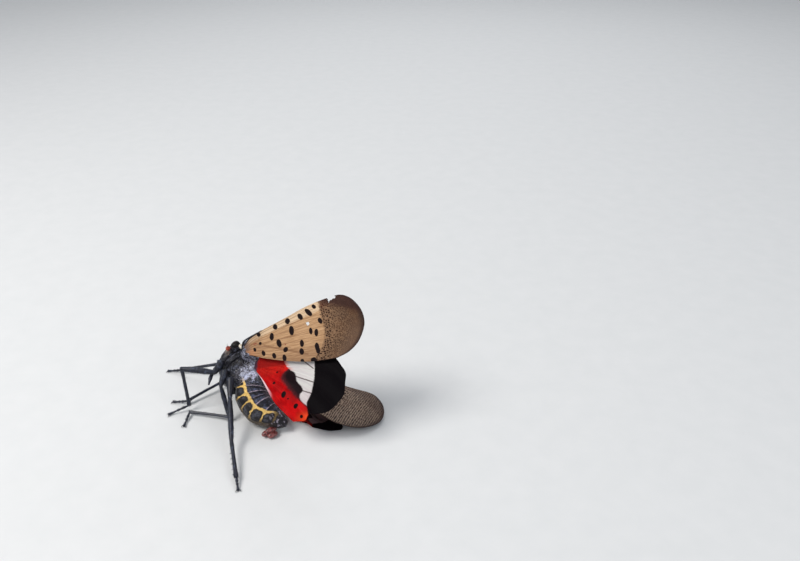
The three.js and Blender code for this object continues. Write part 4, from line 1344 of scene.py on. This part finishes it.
def make_abdomen():
    steps, around = RINGS * STEPS_PER_RING + 1, 128
    at = np.linspace(0, 1, steps)
    centres = smooth_run(ABDOMEN_PATH, at)
    run = np.gradient(centres, axis=0)
    run /= np.linalg.norm(run, axis=1, keepdims=True)
    angle = np.linspace(0, 2 * np.pi, around, endpoint=False)
    from_top = np.degrees(np.abs((angle - np.pi / 2 + np.pi) % (2 * np.pi) - np.pi))
    places, numbers = [], []
    for t, centre, direction in zip(at, centres, run):
        turned = min(t / 0.16, 1)
        tangent = unit(direction * turned - FORWARD * (1 - turned))
        across = unit(LEFT - tangent * np.dot(LEFT, tangent))
        up = unit(np.cross(across, tangent))
        up = up if np.dot(up, UP) > 0 else -up
        ring = t * RINGS
        part = ring - math.floor(ring) if t < 1 else 1.0
        line = float(profile(SIDE_LINE, ring))
        back = np.clip((line + 4 - from_top) / 8, 0, 1)
        step = part ** 1.5 * np.clip((1 - part) / 0.07, 0, 1)
        seam = dent(from_top, line, 7)
        belly_plate = dent(from_top, line + 32, 22) * dent(part, 0.5, 0.38)
        swell = 1 + (0.055 * back + 0.03 * (1 - back)) * step
        swell = swell + 0.05 * belly_plate - 0.035 * dent(from_top, line + 10, 5)
        swell = swell + 0.02 * seam + 0.012 * np.sin(from_top * 0.35 + 9 * t)
        swell = swell - 0.01 * dent(part, 0.35, 0.08) * back
        girth = float(profile(GIRTH, t)) * swell
        height = BACK * girth + float(profile(BACK_SWELL, t))
        y, z = oval(angle, HALF_WIDTH * girth, height, BELLY * girth, 2.1)
        where = centre + y[:, None] * across + z[:, None] * up
        ahead = (where - MIDDLE) @ FORWARD - THORAX_END
        where = where - np.maximum(ahead, 0)[:, None] * FORWARD
        where[:, 2] = np.maximum(where[:, 2], 0.03)
        places.append(where)
        numbers.append(np.column_stack([np.full(around, ring), from_top, np.full(around, line)]))
    rings = np.vstack(places)
    places = np.vstack([places[0].mean(0), rings, centres[-1]])
    numbers = np.vstack([[0, 90, 100], np.vstack(numbers), [RINGS, 90, 60]])
    faces = facing_out(places, tube_faces(steps, around))
    near = np.clip((2.4 - numbers[:, 0]) / 2.2, 0, 1) ** 1.5
    upper = np.clip((numbers[:, 2] - numbers[:, 1] + 10) / 20, 0.1, 1)
    waxed = np.column_stack([near * 0, near * upper, near * 0])
    return make_mesh("abdomen_rings", places, faces, None,
                     numbers={"wrap": numbers, "hollow": waxed})


def abdomen_finish():
    f = Finish("ringed abdomen")
    ring, top, line = f.stored("wrap")
    place = f.place()
    fine = f.noise(place, 6.0, 4.0, 0.7)
    patch = f.noise(place, 1.1, 3.0)
    blotch = f.noise(place, 2.4, 3.0)
    creases = f.noise(f.vector(ring * 9.0, top * 0.05), 1.0, 3.0)
    part = ring.part()
    wave = (fine - 0.5) * 7 + (blotch - 0.5) * 9
    below = top - line + wave
    back = below.rise(-3.5, -5.5)
    near = ring.rise(2.3, 0.4)
    bloom = (patch + blotch * 0.5).rise(0.66, 0.9) * fine.rise(0.34, 0.6)
    # Less wax towards the top of the back, beside the hindwing: partly real wax, partly painted
    # shade.
    sides = below.rise(-78.0, -18.0)
    wax = (bloom * (0.2 + 0.8 * sides) * (part + (blotch - 0.5) * 0.5).rise(0.3, 0.6)).least(1.0)
    thick = (near * 0.7 + (blotch - 0.5) * 1.6 + (patch - 0.5)).rise(0.42, 0.68)
    thick = thick * fine.rise(0.3, 0.5) * near.rise(0.0, 0.35)
    hem = part.rise(0.885, 0.92) * part.rise(1.0, 0.97) * (fine + blotch * 0.6).rise(0.62, 0.9)
    shield = f.coats(
        f.mix((12, 10, 17), (24, 25, 40), blotch.rise(0.35, 0.65)),
        ((112, 122, 158), wax * (0.6 + 0.4 * near)),
        ((198, 204, 230), thick),
        # painted shade: dark red-purple on the top of the back, beside the hindwing
        ((60, 30, 46), top.rise(58.0, 26.0) * ring.rise(1.6, 2.6) * 0.6),
        ((200, 182, 198), hem * 0.85))
    yellow = f.coats(
        f.mix((228, 190, 110), (172, 134, 76), (creases + fine).rise(0.95, 1.3)),
        ((224, 200, 142), blotch.rise(0.55, 0.7) * 0.4),
        ((186, 176, 176), ring.rise(1.7, 0.7) * fine.rise(0.35, 0.55)),
        ((104, 84, 52), below.rise(34.0, 64.0) * 0.85))
    middle = (part - 0.5 + (blotch - 0.5) * 0.2) / (0.44 + (patch - 0.5) * 0.12)
    down = (below - 38.5) / 33.0
    square = middle * middle * middle * middle + down * down * down * down
    plate = square.rise(1.15, 0.8)
    under = below.rise(64.0, 72.0)
    black = f.mix((20, 18, 22), (86, 88, 100), bloom * square.rise(0.5, 0.0) * 0.7)
    belly = f.mix(yellow, black, plate)
    belly = f.mix(belly, (40, 34, 32), under * 0.8)
    colour = f.mix(belly, shield, back)
    tail = ring.rise(6.2, 7.0)
    tail_tone = f.mix((22, 19, 25), (168, 160, 176), blotch.rise(0.54, 0.66) * 0.7)
    colour = f.mix(colour, tail_tone, tail * (0.6 + 0.4 * ring.rise(6.6, 7.4)))
    roughness = 0.36 + (wax + thick).least(1.0) * back * 0.4 + fine * 0.15
    height = creases * 0.8 + fine * 0.6 + wax * 0.4 + thick * 0.9 + plate * (1 - back) * 0.5
    return f.close(colour, roughness, height, 0.07, Specular_IOR_Level=0.35)


abdomen = make_abdomen()
abdomen.data.materials[0] = abdomen_finish()
finished(abdomen, "abdomen", "abdomen")

# %% [markdown]
# ## Egg-laying valves, tail and shoulder plates
# Under the tail of a female sit a pair of soft reddish lobes. A pale plate covers the root of
# each forewing, and small knobs and soft skin fill the place where the wings join the thorax.

# %% Make the small parts
valve_paint = plain_finish("reddish lobes", (70, 28, 27), (146, 78, 76), 0.2,
                           Coat_Weight=0.2)
cream_paint = plain_finish("cream plate", (188, 172, 150), (236, 230, 216), 0.5, 0.08)
VALVE_AXES = [unit((0.8, 0.6, 0)), unit((-0.6, 0.8, 0)), np.array((0, 0, 1.0))]
valves = bundle("valves", [
    ball((1.75, -5.98, 0.66), VALVE_AXES, (0.95, 0.5, 0.48)),
    ball((2.65, -6.25, 0.55), VALVE_AXES, (0.9, 0.52, 0.46)),
    ball((2.35, -5.7, 1.0), VALVE_AXES, (1.05, 0.46, 0.5))], valve_paint)
finished(valves, "ovipositor", "ovipositor")
for side, sign in (("left", 1), ("right", -1)):
    at = on_body(1.9, sign * 2.74, 1.96)
    plate = ball(at, BODY_AXES, (0.5, 0.3, 0.43), 40, 26)
    plate = bundle("shoulder_plate_" + side, [uneven(plate, 5, 0.02)], cream_paint)
    finished(plate, "tegula", "tegula_" + side)

# %% [markdown]
# ## Wing joints
# A wing is hung on the thorax by small hard arms in a soft waxy skin. Each arm is drawn as an
# uneven tapered stick from the thorax to the wing root, and a flat lump fills the corner in
# front of the forewing, where a dark rod carries its front edge.

# %% Make the wing joints
def by_wing(name, s, w, off=0.0):
    shape = WINGS[name]
    return shape["hinge"] + s * shape["tip"] + w * shape["front"] + off * shape["normal"]


def wing_axes(name):
    shape = WINGS[name]
    return shape["tip"], shape["front"], shape["normal"]


def joint(name, parts, material, extra):
    """Several uneven parts in one mesh, with a wax amount for the finish."""
    parts = [uneven(part, seed) for seed, part in enumerate(parts)]
    count = sum(len(places) for places, _, _ in parts)
    wax = np.tile((0.0, extra, 0.0), (count, 1))
    return finished(bundle(name, parts, material, {"hollow": wax}), "cuticle_black")


ARM = [(0, 0.62), (0.35, 0.5), (0.7, 0.34), (0.92, 0.2), (1, 0.1)]
THIN_ARM = [(0, 0.5), (0.4, 0.36), (0.75, 0.24), (1, 0.09)]
ARMS = [
    # start on the body, wing, middle along the wing and off it, end along the wing, radii
    ((0.8, 1.9, 1.2), "forewing_", (0.1, 0.5, -0.2), (0.9, 0.75), THIN_ARM),
    ((0.2, 1.9, 1.3), "forewing_", (-0.1, -0.2, -0.15), (1.2, -0.3), ARM),
    ((-0.3, 1.8, 1.5), "hindwing_", (0.1, 1.0, -0.1), (1.2, 0.75), ARM),
    ((-1.0, 1.6, 1.5), "hindwing_", (-0.1, 0.3, -0.05), (1.0, 0.1), ARM),
    ((-1.6, 1.5, 1.5), "hindwing_", (0.0, -0.5, 0.0), (0.9, -0.9), THIN_ARM),
    ((1.0, 1.9, 1.6), "forewing_", (0.2, 1.3, -0.25), (0.9, 1.6), THIN_ARM),
]
joints = []
for side, sign in (("left", 1), ("right", -1)):
    fore, hind = "forewing_" + side, "hindwing_" + side
    parts = [
        stick([on_body(x, sign * y, z), by_wing(kind + side, *middle),
               by_wing(kind + side, *end)], radii, 28, 44)
        for (x, y, z), kind, middle, end, radii in ARMS]
    knob = stick([on_body(1.3, sign * 1.6, 1.5), on_body(1.85, sign * 2.3, 2.3),
                  on_body(2.2, sign * 2.6, 3.15)], [(0, 0.5), (0.5, 0.42), (0.85, 0.34), (1, 0.2)],
                 24, 30)
    parts.append(ball(by_wing(fore, 0.8, 1.6, -0.02), wing_axes(fore), (0.6, 0.4, 0.13), 40, 26))
    parts.append(ball(by_wing(hind, 0.6, 0.45, 0.0), wing_axes(hind), (0.55, 0.6, 0.2), 40, 26))
    joints.append(joint("wing_joint_" + side, parts, waxy_paint, 0.62))
    rod = stick([on_body(1.1, sign * 2.0, 1.5), by_wing(fore, 0.0, 1.5, -0.12),
                 by_wing(fore, 0.5, 1.98), by_wing(fore, 1.4, 2.28), by_wing(fore, 2.7, 2.58),
                 by_wing(fore, 4.2, 2.9)], [(0, 0.3), (0.25, 0.24), (0.5, 0.14), (1, 0.06)], 16, 60)
    rods = bundle("front_rod_" + side, [rod, uneven(knob, 3)], shell_paint)
    finished(rods, "cuticle_black")

# %% [markdown]
# ## Wax crumbs
# Females carry loose white wax on the rear of the thorax and the first rings of the abdomen. It
# is a scatter of tiny flattened crumbs, each one an eight-point grain, turned at random. How
# densely they lie is a number stored on the mesh.

# %% Scatter the wax
crumb = Grower("wax crumbs", Density=1e8, Size=0.00005, Seed=1)
amount = crumb.node("ShaderNodeSeparateXYZ", {0: crumb.stored("hollow")})
laid = crumb.node("ShaderNodeMath", {
    0: amount.node.outputs["Y"], 1: crumb.given("Density")}, operation="MULTIPLY")
strewn = crumb.node("GeometryNodeDistributePointsOnFaces", {
    "Mesh": crumb.given("Shape"), "Density": laid, "Seed": crumb.given("Seed")})
grain = crumb.node("GeometryNodeMeshIcoSphere", {
    "Radius": crumb.given("Size"), "Subdivisions": 1})
FULL_TURN = 6.28
turn, stretch = (
    crumb.node("FunctionNodeRandomValue", {0: low, 1: high, "Seed": crumb.given("Seed")},
               data_type="FLOAT_VECTOR")
    for low, high in (((0.0, 0.0, 0.0), (FULL_TURN, FULL_TURN, FULL_TURN)),
                      ((0.25, 0.4, 0.3), (1.0, 1.6, 0.9))))
crumb.end(crumb.node("GeometryNodeInstanceOnPoints", {
    "Points": strewn, "Instance": grain, "Rotation": turn, "Scale": stretch}))

wax_paint = plain_finish("white wax", (168, 166, 186), (226, 224, 232), 0.7)
CRUMBS_PER_AREA = (2.2e8, 2.0e8, 0.8e8, 0.8e8)
for seed, (source, density) in enumerate(zip([thorax, abdomen] + joints, CRUMBS_PER_AREA)):
    finished(crumb.grow("wax_" + source.name, source, wax_paint, Density=density,
                        Size=0.00003, Seed=seed), "cuticle_black")

# %% [markdown]
# ## Bristles
# Fine dark bristles stand on the legs and lean towards the foot. The tree scatters points over
# the surface with a fixed seed and puts a thin cone on each, turned along the surface's own
# direction, which each stick carries as a stored number.

# %% Grow bristles
bristle = Grower("bristles", Density=1e7, Length=0.0002, Radius=0.000012, Lean=1.0, Seed=1)
scatter = bristle.node("GeometryNodeDistributePointsOnFaces", {
    "Mesh": bristle.given("Shape"), "Density": bristle.given("Density"),
    "Seed": bristle.given("Seed")})
normal = scatter.node.outputs["Normal"]
spike = bristle.node("GeometryNodeMeshCone", {
    "Vertices": 4, "Radius Top": 0.0, "Radius Bottom": bristle.given("Radius"),
    "Depth": bristle.given("Length")})
leaning = bristle.node("ShaderNodeVectorMath", {
    0: bristle.stored("lie"), "Scale": bristle.given("Lean")}, operation="SCALE")
aim = bristle.node("ShaderNodeVectorMath", {0: normal, 1: leaning}, operation="ADD")
turned = bristle.node("FunctionNodeAlignRotationToVector", {"Vector": aim}, axis="Z")
size = bristle.node("FunctionNodeRandomValue", {
    2: 0.5, 3: 1.2, "Seed": bristle.given("Seed")}, 1, data_type="FLOAT")
bristle.end(bristle.node("GeometryNodeInstanceOnPoints", {
    "Points": scatter, "Instance": spike, "Rotation": turned, "Scale": size}))

bristle_paint = plain_finish("bristle", (20, 19, 22), (44, 42, 46), 0.4)
for seed, (name, leg) in enumerate(leg_objects.items()):
    hairs = bristle.grow("bristles_" + name, leg, bristle_paint, Density=2.4e7,
                         Length=0.00026, Radius=0.000013, Lean=1.1, Seed=seed)
    finished(hairs, "leg")

# %% [markdown]
# ## Floor
# The floor is a plain pale sheet, far larger than the model. It isn't part of the model.

# %% Floor
floor_finish = Finish("pale floor")
grain = floor_finish.noise(floor_finish.place(), 0.25, 3.0)
pale = floor_finish.mix((214, 216, 217), (222, 223, 224), grain)
floor_paint = floor_finish.close(pale, 0.85)
FLOOR = 400.0
corners = [(-FLOOR, -FLOOR, 0), (FLOOR, -FLOOR, 0), (FLOOR, FLOOR, 0), (-FLOOR, FLOOR, 0)]
floor = make_mesh("floor", np.array(corners) - SLIDE * (1, 1, 0), [(0, 1, 2, 3)], floor_paint)
